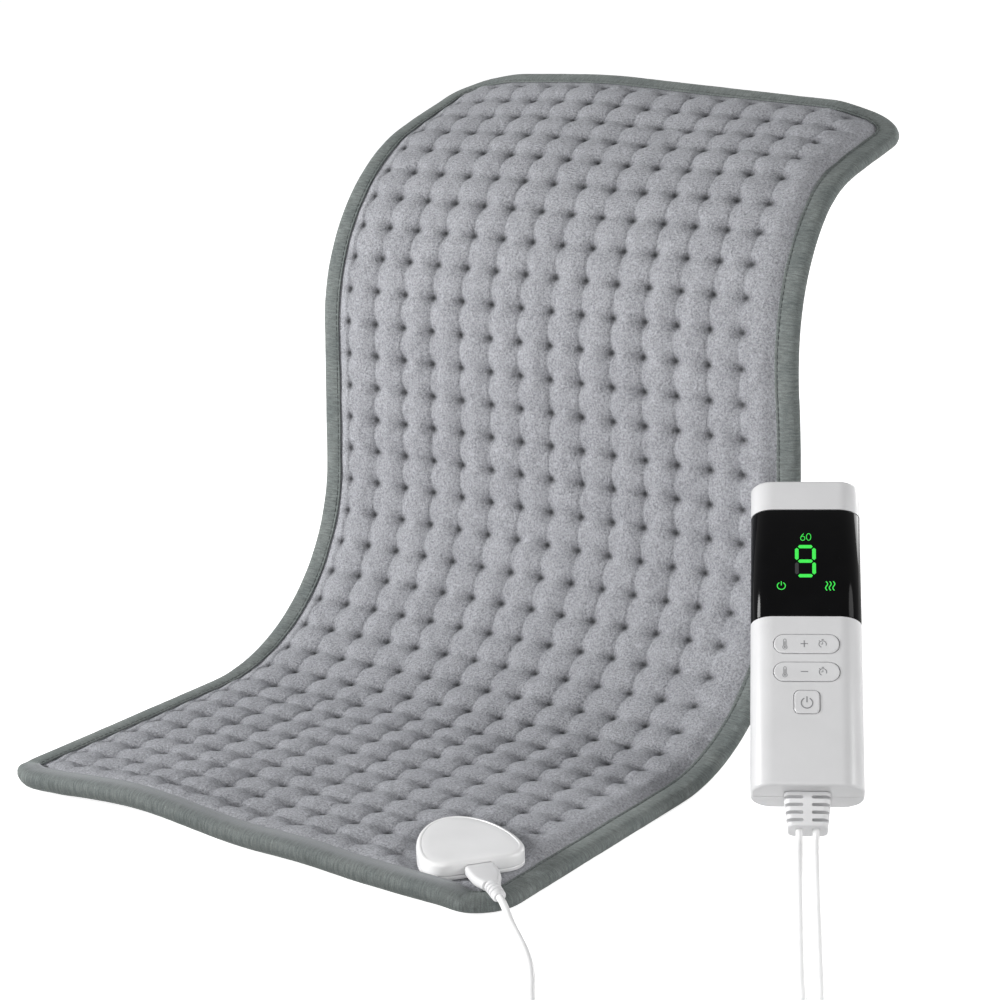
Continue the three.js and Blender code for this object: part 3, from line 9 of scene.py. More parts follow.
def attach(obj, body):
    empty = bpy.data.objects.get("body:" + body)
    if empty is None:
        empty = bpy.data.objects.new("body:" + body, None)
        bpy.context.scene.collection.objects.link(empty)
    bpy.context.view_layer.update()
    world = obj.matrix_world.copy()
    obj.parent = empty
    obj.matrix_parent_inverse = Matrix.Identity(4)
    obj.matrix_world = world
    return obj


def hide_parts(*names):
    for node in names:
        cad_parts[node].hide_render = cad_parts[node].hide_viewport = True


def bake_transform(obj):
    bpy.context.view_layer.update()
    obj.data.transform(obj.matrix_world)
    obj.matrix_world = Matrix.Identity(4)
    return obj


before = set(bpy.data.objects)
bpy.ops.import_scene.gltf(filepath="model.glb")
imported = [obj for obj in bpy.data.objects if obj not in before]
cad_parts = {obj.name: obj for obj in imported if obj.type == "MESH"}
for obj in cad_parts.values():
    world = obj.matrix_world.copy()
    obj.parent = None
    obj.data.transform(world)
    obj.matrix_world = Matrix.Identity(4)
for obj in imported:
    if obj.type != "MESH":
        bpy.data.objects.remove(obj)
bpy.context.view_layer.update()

MM = 0.001
X_AXIS, Y_AXIS, Z_AXIS = np.eye(3)

# Pad, in millimetres, as in the part's source
PAD_WIDTH = 311.0
PAD_LENGTH = 610.0
CORNER_RADIUS = 25.0
SEAT_LENGTH = 161.0
SEAT_BEND_RADIUS = 110.0
SEAT_BEND = math.radians(87)
BACK_LENGTH = 76.0
TOP_BEND_RADIUS = 112.0
TOP_BEND = math.radians(66)
PAD_ARCS = (
    (SEAT_LENGTH, 0.0),
    (SEAT_BEND_RADIUS * SEAT_BEND, SEAT_BEND),
    (BACK_LENGTH, 0.0),
    (TOP_BEND_RADIUS * TOP_BEND, -TOP_BEND),
    (PAD_LENGTH, 0.0),
)
QUILT_HEIGHT = 6.0
TWIST_START = 400.0
TWIST_LEFT_RISE = 5.0
TWIST_RIGHT_DROP = 14.0

# Soft forms of the pad that the solids leave out
TOP_GATHER = 14.0
GATHER_START = 350.0
GATHER_END = 540.0
TOP_BOW = 8.5
LEFT_CORNER_HANG = 7.0
RIGHT_EDGE_BULGE = 5.0
FRONT_LIFTS = ((6.0, -62, 52), (1.6, 40, 26))
FRONT_LIFT_REACH = 62
ROLL_RISE = 3.0

# Quilt and layers
COLUMN_PITCH = 20.05
ROW_PITCH = 18.3
COLUMNS = -136.5 + COLUMN_PITCH * np.arange(14)
ROWS = 25.0 + ROW_PITCH * np.arange(32)
CELL_STEPS = np.array([0.0, 0.04, 0.085, 0.14, 0.22, 0.36, 0.5, 0.64, 0.78, 0.86, 0.915, 0.96])
EDGE_STEPS = 9
CROWN_HEIGHT = 4.2
BACK_CROWN_HEIGHT = 1.5
BACK_CROWN_LIMIT = 1.55
DIMPLE_RADIUS = 2.5
DIMPLE_STRETCH = 1.25
FUNNEL_RADIUS = 4.1
FUNNEL_DEPTH = 0.8
CREASE_STRAY = 0.9
FLEECE_EDGE = 5.0
WIRE_RADIUS = 0.6
WIRE_RUN_HALF = 108.0

# Heights of layers, seam and wire, out of the face from about the floor of the dimples
FLEECE_FLOOR = -0.65
FLEECE_LOW = -0.4
SEAM_HEIGHT = 0.75
BACK_TOP, BACK_LOW = -3.7, -4.4
FELT_TOP, FELT_LOW = -2.45, -3.15
WIRE_HEIGHT = -1.55
STITCH_HEIGHT = 1.38

# Binding, stitches and cloth
BINDING_WIDTH = 12.0
SEAM_FADE = 7.5
FRONT_SEAM = 4.0
STITCH_INSET = 10.4
STITCH_PITCH = 3.3
STITCH_LENGTH = 2.5
CLOTH_FRAMES = 7
CLOTH_CAP = 1.6
CLOTH_SCALE = 10
HELD_RADIUS = 1.2
LOOSE_PIN = 0.04

# Sizes and places of the socket and its plug
SOCKET_AT = np.array([113.5, -40.6, 0.0])
SOCKET_TURN = math.radians(-38) - math.pi / 2
SOCKET_FRONT, SOCKET_BACK, SOCKET_HALF_WIDTH = 20.0, 34.0, 25.0
PLUG_AXIS_HEIGHT = 11.2
PLUG_LANE_HALF_WIDTH = 8.5
PLUG_LANE_START, PLUG_LANE_END = 14, 75
QUILT_UNDER_SOCKET = 0.75
QUILT_UNDER_PLUG = 1.5

# Sizes and place of the controller
CONTROLLER_AT = np.array([221.4290, 84.1713, 17.5534])
YAW = math.radians(30)
LEAN = math.radians(45)
BODY_WIDTH, BODY_LENGTH, BODY_DEPTH, BODY_ROUNDING = 54.0, 164.0, 28.0, 11.0
WALL = 2.8
HALF_PARTING = 0.15
CUTTER_REACH = 40
RELIEF_MOUTH = ((-8.3, -1, -5.3), (8.3, 3.8, 5.3))
FACE_Z = BODY_DEPTH / 2
LENS_BOTTOM, LENS_TOP = 88.3, 147.6
LENS_FIT = 0.3
LENS_THICKNESS = 1.4
ROCKER_LENGTH, ROCKER_HEIGHT = 31.4, 10.0
PLUS_ROCKER_Y, MINUS_ROCKER_Y, POWER_KEY_Y = 73.4, 58.6, 42.7
POWER_KEY_SIZE, POWER_KEY_ROUNDING = 12.0, 2.6
KEY_FIT = 0.35
KEY_TOP = FACE_Z + 0.5
KEY_DISH = 0.12
KEY_SIGN_LEVELS = (14.34, 14.46)
THERMOMETER_X, PLUS_MINUS_X, TIMER_X = -10.4, -1.1, 7.7
DISPLAY_LEVELS = (FACE_Z - 0.02, FACE_Z + 0.06)
RELIEF_TOP_WIDTH, RELIEF_END_WIDTH, RELIEF_DEPTH = 22.4, 19.0, 14.0
RELIEF_START, RELIEF_END = -0.3, -17.4
RELIEF_EASING = (
    (RELIEF_END, -1.6), (-17.25, -0.7), (-16.8, -0.15), (-16.2, 0.0), (-1.2, 0.0), (RELIEF_START, 0.0),
)
RELIEF_SLOTS = 4
SLOT_RADIUS = 0.85

# Sizes and routes of the cords
CORD_DIAMETER = 3.4
CORD_FLOOR_Z = 1.9
CORD_SIDE, CORD_EXIT_Y, CORD_FORWARD = 3.95, -17.7, 1.5
CORD_END_Y = -15.4
ROUTE_STEP = 3.0
AHEAD = np.array([math.sin(YAW), -math.cos(YAW), 0.0])
SIDEWAYS = np.array([math.cos(YAW), math.sin(YAW), 0])
STRAIGHT_RUN = (30, 55, 80, 105, 130, 150)
PAD_LEAD_PLUG_ROUTE = (
    (155.7, -73.6, 11.2), (158.9, -76.1, 10.9), (163.5, -79.6, 9.2), (169.0, -83.7, 6.3),
    (175.5, -88.0, 3.5), (183.0, -94.0, 2.1), (190.0, -101.0, 1.9), (197.0, -109.0, 1.9),
    (205.0, -119.5, 1.9), (213.4, -131.4, 1.9), (227.7, -147.6, 1.9), (247.1, -157.2, 1.9),
    (268.6, -158.6, 1.9), (284.8, -154.2, 1.9), (289.1, -151.7, 1.9),
)
PAD_LEAD_LOOP_ROUTE = (
    (289.45, -151.5, 1.9), (293.8, -149.0, 1.9), (305.3, -137.4, 1.9), (314.9, -118.0, 1.9),
    (316.3, -96.5, 1.9), (309.4, -76.0, 1.9),
)

# Coil of the mains lead, its tie and plug
COIL_DISTANCE = 245.0
COIL_OUTER = 26.4
COIL_PITCH = 4.0
COIL_TURNS_PER_LAYER = 3
COIL_LAYERS = 4
COIL_LOW = 3.7
COIL_TOP = COIL_LOW + COIL_PITCH * (COIL_LAYERS - 1)
COIL_STEPS = 36
TIE_INNER, TIE_OUTER = 13.9, 26.9
TIE_ROOM = 2.2
TIE_THICKNESS = 1.2
TIE_TURN = math.radians(60)
TAIL_LENGTH = 48.0
TAIL_GAP = 0.6
MAINS_AXIS_HEIGHT = 6.3
BLADE_X = 6.35
BLADE_HALF_THICKNESS = 0.75
BLADE_HOLE_Y, BLADE_HOLE_RADIUS = 65.0, 1.55

scene = bpy.context.scene
scene.view_settings.view_transform = "Standard"


# Numbers

def smoothstep(low, high, value):
    share = np.clip((np.asarray(value, float) - low) / (high - low), 0, 1)
    return share * share * (3 - 2 * share)


def bell(value, middle, width):
    return np.exp(-((value - middle) / width) ** 2)


NOISE_TABLE = np.random.default_rng(20).random((16, 256, 256))


def noise(u, v, table=0):
    """Smooth noise from -1 to 1 with cells of size 1."""
    u, v = np.asarray(u, float), np.asarray(v, float)
    i, j = np.floor(u).astype(int), np.floor(v).astype(int)
    a, b = u - i, v - j
    a, b = a * a * (3 - 2 * a), b * b * (3 - 2 * b)
    grid = NOISE_TABLE[table]
    size = len(grid)
    at = lambda p, q: grid[p % size, q % size]
    low = at(i, j) * (1 - a) + at(i + 1, j) * a
    high = at(i, j + 1) * (1 - a) + at(i + 1, j + 1) * a
    return 2 * (low * (1 - b) + high * b) - 1


def distances(points):
    """How far along a line each of its points is."""
    return np.concatenate([[0], np.cumsum(np.linalg.norm(np.diff(points, axis=0), axis=1))])


# Meshes

def add_object(name, vertices, faces, material, smooth_angle=None):
    """A mesh object from millimetre corners; edges sharper than the angle stay crisp."""
    mesh = bpy.data.meshes.new(name)
    mesh.from_pydata((np.asarray(vertices, float) * MM).tolist(), [], faces)
    piece = bpy.data.objects.new(name, mesh)
    scene.collection.objects.link(piece)
    if material is not None:
        mesh.materials.append(material)
    shade(piece, smooth_angle)
    return piece


def shade(piece, smooth_angle=None):
    mesh = piece.data
    mesh.polygons.foreach_set("use_smooth", np.ones(len(mesh.polygons), bool))
    if smooth_angle is not None:
        mesh.set_sharp_from_angle(angle=math.radians(smooth_angle))
    mesh.update()


def store(piece, name, values, kind="FLOAT"):
    """Keeps a value for each corner, for the materials."""
    made = piece.data.attributes.new(name, kind, "POINT")
    key = "vector" if kind == "FLOAT_VECTOR" else "value"
    made.data.foreach_set(key, np.asarray(values, np.float32).ravel())


def dress(piece, body, slot, *nodes):
    """Puts a piece on its body and hides the CAD nodes that it stands for; the slot is not used."""
    if nodes:
        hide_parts(*nodes)
    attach(piece, body)
    return piece


def loft(rings, closed_ends=True):
    """Corners and faces of a tube through rings with the same count."""
    count = len(rings[0])
    vertices = np.concatenate([np.asarray(r, float) for r in rings])
    faces = []
    for k in range(len(rings) - 1):
        low, high = k * count, (k + 1) * count
        for i in range(count):
            j = (i + 1) % count
            faces.append((low + i, low + j, high + j, high + i))
    if closed_ends:
        faces.append(tuple(range(count))[::-1])
        faces.append(tuple(range((len(rings) - 1) * count, len(rings) * count)))
    return vertices, faces


def loft_round(rings):
    """Corners and faces of a tube whose last ring meets its first."""
    vertices, faces = loft([*rings, rings[0]], closed_ends=False)
    wrap = len(rings) * len(rings[0])
    return vertices[:wrap], [tuple(i - wrap if i >= wrap else i for i in face) for face in faces]


def merged(parts):
    """One list of corners and faces from several."""
    vertices, faces, start = [], [], 0
    for corner_list, face_list in parts:
        vertices.append(np.asarray(corner_list, float))
        faces += [tuple(start + i for i in face) for face in face_list]
        start += len(corner_list)
    return np.concatenate(vertices), faces


def outward(piece):
    """Turns the faces of closed pieces outwards."""
    work = bmesh.new()
    work.from_mesh(piece.data)
    bmesh.ops.recalc_face_normals(work, faces=work.faces)
    work.to_mesh(piece.data)
    work.free()
    piece.data.update()
    return piece


def place(made, where):
    vertices, faces = made
    return where(vertices), faces


def add_closed(name, made, where, material, smooth_angle=None):
    """A closed piece at its place, with its faces turned outwards."""
    piece = outward(add_object(name, *place(made, where), material))
    shade(piece, smooth_angle)
    return piece


def cut(piece, cutter):
    """Cuts a closed piece with another, which goes."""
    outward(piece)
    outward(cutter)
    tool = piece.modifiers.new("cut", "BOOLEAN")
    tool.operation = "DIFFERENCE"
    tool.solver = "EXACT"
    tool.object = cutter
    made = bpy.data.meshes.new_from_object(piece.evaluated_get(bpy.context.evaluated_depsgraph_get()))
    piece.modifiers.clear()
    old = piece.data
    name = old.name
    piece.data = made
    bpy.data.meshes.remove(old)
    made.name = name
    bpy.data.objects.remove(cutter)


def carve(piece, made, where):
    """Cuts a shape, given in the measures of its place, out of a piece."""
    cut(piece, add_object("cutter", *place(made, where), None))


def add_carved(name, made, where, material, smooth_angle, *cutters):
    """A closed piece at its place, with shapes cut out of it."""
    piece = add_object(name, *place(made, where), material)
    for cutter in cutters:
        carve(piece, cutter, where)
    shade(piece, smooth_angle)
    return piece


def rounded_rectangle(width, height, radius, steps=8):
    points = []
    for quarter, (sx, sy) in enumerate(((1, 1), (-1, 1), (-1, -1), (1, -1))):
        centre = np.array([sx * (width / 2 - radius), sy * (height / 2 - radius)])
        for step in range(steps + 1):
            angle = math.pi / 2 * (quarter + step / steps)
            points.append(centre + radius * np.array([math.cos(angle), math.sin(angle)]))
    return np.array(points)


def level(outline, z):
    """A flat outline at one height."""
    return np.column_stack([outline, np.full(len(outline), z)])


def upright(outline, y, z=0.0):
    """A flat outline that stands across the y axis."""
    return np.column_stack([outline[:, 0], np.full(len(outline), y), outline[:, 1] + z])


def hoop(centre, radius, first, second, sides):
    """Points round a centre, in the plane of two directions."""
    angles = 2 * math.pi * np.arange(sides) / sides
    return centre + radius * (np.outer(np.cos(angles), first) + np.outer(np.sin(angles), second))


def box_faces(low, high):
    x, y, z = zip(low, high)
    corners = [(x[i], y[j], z[k]) for k in (0, 1) for j in (0, 1) for i in (0, 1)]
    faces = [(0, 2, 3, 1), (4, 5, 7, 6), (0, 1, 5, 4), (2, 6, 7, 3), (0, 4, 6, 2), (1, 3, 7, 5)]
    return np.array(corners, float), faces


def prism(outline, low, high):
    """A flat shape in x and y, between two heights."""
    return loft([level(outline, z) for z in (low, high)])


def lathe(pairs, height, sides=28):
    """A closed body round a line along y at a height, from (radius, y) pairs."""
    return loft([hoop((0, y, height), r, X_AXIS, Z_AXIS, sides) for r, y in pairs])


def ribs(count, first, step, rib, groove):
    """(radius, y) pairs of a boot's ribs and of the grooves between them."""
    made = []
    for k in range(count):
        outer, low = first[0] + step[0] * k, first[1] + step[1] * k
        shape = rib if k == count - 1 else (*rib, *groove)
        made += [(outer + radius, low + y) for radius, y in shape]
    return made


# Local places: the socket and plug, the controller, the coil and the mains plug

def turn_z(angle):
    c, s = math.cos(angle), math.sin(angle)
    return np.array([[c, -s, 0], [s, c, 0], [0, 0, 1]])


def turn_x(angle):
    c, s = math.cos(angle), math.sin(angle)
    return np.array([[1, 0, 0], [0, c, -s], [0, s, c]])


def mover(turn, at):
    """A function that takes points from a place's own measures to the part's."""
    return lambda points: np.asarray(points, float) @ turn.T + at


SOCKET_TURN_MATRIX = turn_z(SOCKET_TURN)
at_socket = mover(SOCKET_TURN_MATRIX, SOCKET_AT)
at_controller = mover(turn_z(YAW) @ turn_x(math.pi / 2 - LEAN), CONTROLLER_AT)


# Routes

def smooth_route(points):
    """The part's own smooth curve through the points."""
    p = np.asarray(points, float)
    p = np.vstack([2 * p[0] - p[1], p, 2 * p[-1] - p[-2]])
    made = []
    for i in range(1, len(p) - 2):
        a, b, c, d = p[i - 1:i + 3]
        ta, tb, tc = (max(np.linalg.norm(q - r), 1e-6) ** 0.5 for q, r in ((a, b), (b, c), (c, d)))
        start = ((b - a) / ta - (c - a) / (ta + tb) + (c - b) / tb) * tb
        end = ((c - b) / tb - (d - b) / (tb + tc) + (d - c) / tc) * tb
        count = max(2, math.ceil(np.linalg.norm(c - b) / ROUTE_STEP))
        for k in range(count):
            t = k / count
            cubic = (2 * b - 2 * c + start + end) * t ** 3
            made.append(cubic + (-3 * b + 3 * c - 2 * start - end) * t ** 2 + start * t + b)
    made.append(p[-2])
    return np.array(made)


def tube(points, radius, sides=14):
    """A round tube along points, turned as little as possible from one ring to the next."""
    along = np.gradient(points, axis=0)
    along /= np.linalg.norm(along, axis=1)[:, None]
    up = Z_AXIS
    rings = []
    for point, direction in zip(points, along):
        up = up - direction * (up @ direction)
        up /= np.linalg.norm(up)
        rings.append(hoop(point, radius, up, np.cross(direction, up), sides))
    return loft(rings)


def in_relief(side, y):
    """A place on one of the two cords in the strain relief."""
    return at_controller([[side * CORD_SIDE, y, CORD_FORWARD]])[0]


def cord_exit(side):
    return in_relief(side, CORD_EXIT_Y)


def controller_run(side):
    """From the strain relief down to the floor, and straight on."""
    start = cord_exit(side)
    radius = (start[2] - CORD_FLOOR_Z) / (1 - math.cos(LEAN))
    points = []
    for share in (1, 0.75, 0.5, 0.25, 0):
        angle = LEAN * share
        point = start + AHEAD * radius * (math.sin(LEAN) - math.sin(angle))
        point[2] = CORD_FLOOR_Z + radius * (1 - math.cos(angle))
        points.append(point)
    for distance in STRAIGHT_RUN:
        point = start + AHEAD * distance
        point[2] = CORD_FLOOR_Z
        points.append(point)
    return points


COIL_CENTRE = cord_exit(1) + AHEAD * COIL_DISTANCE + SIDEWAYS * COIL_OUTER
at_coil = mover(turn_z(TIE_TURN), np.array([COIL_CENTRE[0], COIL_CENTRE[1], 0]))


def coil_point(turns):
    """A place on the coil, which winds in and out as it climbs from layer to layer."""
    wave = abs(turns / COIL_TURNS_PER_LAYER % 2 - 1)
    radius = COIL_OUTER - COIL_PITCH * COIL_TURNS_PER_LAYER * (1 - wave)
    z = COIL_LOW
    for k in range(1, COIL_LAYERS):
        z += COIL_PITCH * min(max((turns - k * COIL_TURNS_PER_LAYER) * 2 + 0.5, 0), 1)
    angle = math.pi + YAW + 2 * math.pi * turns
    return np.array([COIL_CENTRE[0] + radius * math.cos(angle), COIL_CENTRE[1] + radius * math.sin(angle), z])


COIL_TURNS = COIL_LAYERS * COIL_TURNS_PER_LAYER
COIL_POINTS = [coil_point(i / COIL_STEPS) for i in range(COIL_TURNS * COIL_STEPS + 1)]
COIL_START = COIL_POINTS[0] - AHEAD * CORD_DIAMETER
COIL_END = COIL_POINTS[-1] + AHEAD * CORD_DIAMETER
MAINS_PLUG_AT = COIL_END + AHEAD * (TAIL_LENGTH + TAIL_GAP)
MAINS_PLUG_AT[2] = 0
at_mains_plug = mover(turn_z(YAW - math.pi), MAINS_PLUG_AT)


def mains_route():
    """Down from the controller, up onto the coil, round it, and down into the plug."""
    onto_coil = []
    for diameters in (-6, -3, -1, 0):
        point = COIL_START + AHEAD * diameters * CORD_DIAMETER
        ease = smoothstep(1, 6, -diameters)
        point[2] = COIL_START[2] + (CORD_FLOOR_Z - COIL_START[2]) * ease
        onto_coil.append(point)
    lead = smooth_route([*controller_run(1), *onto_coil])
    tail = [COIL_END]
    plug_end = MAINS_PLUG_AT + Z_AXIS * MAINS_AXIS_HEIGHT
    for share in (0.08, 0.25, 0.42, 0.58, 0.75, 0.92, 1):
        point = COIL_END + (plug_end - COIL_END) * share
        ease = smoothstep(0.08, 0.92, share)
        point[2] = COIL_END[2] + (MAINS_AXIS_HEIGHT - COIL_END[2]) * ease
        tail.append(point)
    into_plug = at_mains_plug([[0, 12, MAINS_AXIS_HEIGHT], [0, 24, MAINS_AXIS_HEIGHT]])
    return np.vstack([lead, COIL_POINTS, smooth_route(tail), into_plug])


# Material steps

def new_material(name):
    material = bpy.data.materials.new(name)
    material.use_nodes = True
    tree = material.node_tree
    return material, tree, tree.nodes["Principled BSDF"]


def node(tree, kind, **values):
    made = tree.nodes.new(kind)
    for key, value in values.items():
        if key in made.inputs:
            made.inputs[key].default_value = value
        else:
            setattr(made, key, value)
    return made


def set_inputs(made, values):
    for key, value in values.items():
        made.inputs[key].default_value = value


def object_place(tree):
    return node(tree, "ShaderNodeTexCoord").outputs["Object"]


def attribute(tree, name, output="Fac"):
    return node(tree, "ShaderNodeAttribute", attribute_name=name).outputs[output]


def stretched(tree, vector, scale):
    made = node(tree, "ShaderNodeMapping", Scale=scale)
    tree.links.new(vector, made.inputs["Vector"])
    return made.outputs["Vector"]


def noise_node(tree, scale, detail=2.0, roughness=0.5, vector=None):
    made = node(tree, "ShaderNodeTexNoise", Scale=scale, Detail=detail, Roughness=roughness)
    tree.links.new(object_place(tree) if vector is None else vector, made.inputs["Vector"])
    return made.outputs["Fac"]


def ramp(tree, value, *stops):
    """A colour by value, from (place, colour) stops."""
    made = node(tree, "ShaderNodeValToRGB")
    made.color_ramp.elements[0].position = stops[0][0]
    made.color_ramp.elements[-1].position = stops[-1][0]
    for position, _ in stops[1:-1]:
        made.color_ramp.elements.new(position)
    for element, (_, colour) in zip(made.color_ramp.elements, stops):
        element.color = (*colour, 1)
    tree.links.new(value, made.inputs["Fac"])
    return made.outputs["Color"]


def span(tree, value, low, high):
    made = node(tree, "ShaderNodeMapRange")
    set_inputs(made, {"To Min": low, "To Max": high})
    tree.links.new(value, made.inputs["Value"])
    return made.outputs["Result"]


def mixed(tree, kind, amount, a, b):
    made = node(tree, "ShaderNodeMix", data_type="RGBA", blend_type=kind)
    sockets = {s.identifier: s for s in made.inputs}
    for key, value in (("Factor_Float", amount), ("A_Color", a), ("B_Color", b)):
        if isinstance(value, bpy.types.NodeSocket):
            tree.links.new(value, sockets[key])
        else:
            sockets[key].default_value = value if key == "Factor_Float" else (*value, 1)
    return next(s for s in made.outputs if s.identifier == "Result_Color")


def bump(tree, shader, height, strength, distance, after=None):
    made = node(tree, "ShaderNodeBump", Strength=strength, Distance=distance)
    tree.links.new(height, made.inputs["Height"])
    if after is not None:
        tree.links.new(after, made.inputs["Normal"])
    tree.links.new(made.outputs["Normal"], shader.inputs["Normal"])
    return made.outputs["Normal"]


def seen_rays(tree):
    """1 for rays to the camera, straight, in gloss or through glass, and 0 for other light."""
    path = node(tree, "ShaderNodeLightPath")
    share = path.outputs["Is Camera Ray"]
    for kind in ("Is Glossy Ray", "Is Transmission Ray"):
        larger = node(tree, "ShaderNodeMath", operation="MAXIMUM")
        tree.links.new(share, larger.inputs[0])
        tree.links.new(path.outputs[kind], larger.inputs[1])
        share = larger.outputs[0]
    return share


def srgb(*levels):
    shares = (value / 255 for value in levels)
    return tuple(v / 12.92 if v <= 0.04045 else ((v + 0.055) / 1.055) ** 2.4 for v in shares)


def grey(value):
    return (value, value, value)


def darker(colour, share):
    return tuple(v * share for v in colour)


# Materials

def moulded(name, colour, roughness, grain=2600.0, coat=0.0):
    """Moulded plastic or rubber: fine grain, faint clouding and uneven gloss."""
    material, tree, shader = new_material(name)
    cloud = noise_node(tree, 55.0, 3.0)
    body = ramp(tree, cloud, (0.3, darker(colour, 0.955)), (0.7, colour))
    tree.links.new(body, shader.inputs["Base Color"])
    speck = noise_node(tree, grain)
    tree.links.new(span(tree, speck, roughness * 0.88, roughness * 1.12), shader.inputs["Roughness"])
    bump(tree, shader, speck, 0.25, 0.00003)
    if coat:
        set_inputs(shader, {"Coat Weight": coat, "Coat Roughness": 0.12})
    return material


def metal(name, colour, roughness):
    """Brushed metal."""
    material, tree, shader = new_material(name)
    set_inputs(shader, {"Metallic": 1.0})
    brushed = noise_node(tree, 4200.0, 2.0, 0.6, stretched(tree, object_place(tree), (1.0, 0.08, 1.0)))
    body = ramp(tree, brushed, (0.3, darker(colour, 0.85)), (0.7, colour))
    tree.links.new(body, shader.inputs["Base Color"])
    tree.links.new(span(tree, brushed, roughness * 0.75, roughness * 1.25), shader.inputs["Roughness"])
    bump(tree, shader, brushed, 0.2, 0.00002)
    return material


def pile(tree, shader, body, roughness, sheen_roughness, tint):
    """Soft cloth: hardly any gloss, and a pale sheen."""
    tree.links.new(body, shader.inputs["Base Color"])
    set_inputs(shader, {
        "Roughness": roughness, "Specular IOR Level": 0.15, "Sheen Weight": 0.35,
        "Sheen Roughness": sheen_roughness, "Sheen Tint": (*tint, 1)})


def fleece_material(name, dark, light):
    """Short brushed pile: fine grain, faint knit rows, patches where the pile lies over, and painted shade in
    the dimples and creases.
    """
    material, tree, shader = new_material(name)
    patches = noise_node(tree, 60.0)
    tufts = noise_node(tree, 520.0, 2.0, 0.6)
    fibres = noise_node(tree, 900.0, 3.0, 0.7)
    body = ramp(tree, patches, (0.3, dark), (0.72, light))
    body = mixed(tree, "OVERLAY", 0.14, body, ramp(tree, tufts, (0.25, grey(0.2)), (0.75, grey(0.8))))
    body = mixed(tree, "OVERLAY", 0.75, body, ramp(tree, fibres, (0.3, grey(0.22)), (0.7, grey(0.78))))
    # Painted shade: the colour darkens to a tenth at the middle of the dimples and a little along the creases
    hollow_and_shade = ramp(tree, attribute(tree, "hollow_and_shade"), (0.0, grey(1)), (0.5, grey(0.6)), (1.0, grey(0.1)))
    body = mixed(tree, "MULTIPLY", 1.0, body, hollow_and_shade)
    pile(tree, shader, body, 0.95, 0.35, srgb(205, 208, 214))
    rows = node(
        tree, "ShaderNodeTexWave", Scale=230.0, Distortion=2.5, Detail=1.0,
        wave_type="BANDS", bands_direction="Y")
    tree.links.new(attribute(tree, "sheet", "Vector"), rows.inputs["Vector"])
    first = bump(tree, shader, rows.outputs["Fac"], 0.16, 0.0004)
    second = bump(tree, shader, tufts, 0.14, 0.0010, first)
    bump(tree, shader, fibres, 1.0, 0.0011, second)
    return material


def binding_material(name, dark, light):
    """Folded velvet strip: pile that lies across the edge, paler on the front roll, with painted shade under
    the roll.
    """
    material, tree, shader = new_material(name)
    run = stretched(tree, attribute(tree, "sheet", "Vector"), (1.0, 0.16, 1.0))
    streaks = noise_node(tree, 1100.0, 3.0, 0.6, run)
    patches = noise_node(tree, 60.0, 3.0, 0.6)
    fibres = noise_node(tree, 1900.0, 2.0, 0.7)
    body = ramp(tree, patches, (0.3, dark), (0.72, light))
    body = mixed(tree, "OVERLAY", 0.6, body, ramp(tree, streaks, (0.28, grey(0.22)), (0.72, grey(0.78))))
    body = mixed(tree, "OVERLAY", 0.4, body, ramp(tree, fibres, (0.3, grey(0.25)), (0.7, grey(0.75))))
    body = mixed(tree, "MIX", attribute(tree, "pale"), body, srgb(146, 148, 151))
    # Painted shade: the colour under the front roll is darkened to half
    body = mixed(tree, "MULTIPLY", attribute(tree, "underside_shade"), body, grey(0.5))
    pile(tree, shader, body, 0.92, 0.4, srgb(190, 198, 194))
    first = bump(tree, shader, streaks, 0.45, 0.0006)
    bump(tree, shader, fibres, 0.4, 0.0004, first)
    return material


def thread_material(name, colour):
    material, tree, shader = new_material(name)
    twist = noise_node(tree, 2400.0)
    body = ramp(tree, twist, (0.3, darker(colour, 0.6)), (0.7, colour))
    tree.links.new(body, shader.inputs["Base Color"])
    set_inputs(shader, {"Roughness": 0.8})
    bump(tree, shader, twist, 0.4, 0.0001)
    return material


def glass_material(name):
    """Black glossy lens with faint smears."""
    material, tree, shader = new_material(name)
    smear = noise_node(tree, 90.0, 4.0, 0.6)
    body = ramp(tree, smear, (0.3, srgb(2, 2, 3)), (0.8, srgb(7, 7, 8)))
    tree.links.new(body, shader.inputs["Base Color"])
    tree.links.new(span(tree, smear, 0.06, 0.13), shader.inputs["Roughness"])
    set_inputs(shader, {"Specular IOR Level": 0.06})
    return material


def lit_material(name, colour):
    """A lit display element, a little uneven like a lamp behind a mask."""
    material, tree, shader = new_material(name)
    glow = ramp(tree, noise_node(tree, 900.0, 1.0), (0.2, darker(colour, 0.82)), (0.8, colour))
    tree.links.new(glow, shader.inputs["Emission Color"])
    set_inputs(shader, {"Base Color": (0.01, 0.02, 0.01, 1), "Emission Strength": 1.0, "Roughness": 0.4})
    return material


def board_material(name):
    """Green circuit board with paler tracks."""
    material, tree, shader = new_material(name)
    tracks = node(
        tree, "ShaderNodeTexBrick", Scale=180.0, Color1=(*srgb(24, 84, 50), 1),
        Color2=(*srgb(30, 98, 60), 1), Mortar=(*srgb(60, 130, 84), 1))
    tree.links.new(object_place(tree), tracks.inputs["Vector"])
    tree.links.new(tracks.outputs["Color"], shader.inputs["Base Color"])
    set_inputs(shader, {"Roughness": 0.45})
    bump(tree, shader, tracks.outputs["Fac"], 0.2, 0.00005)
    return material


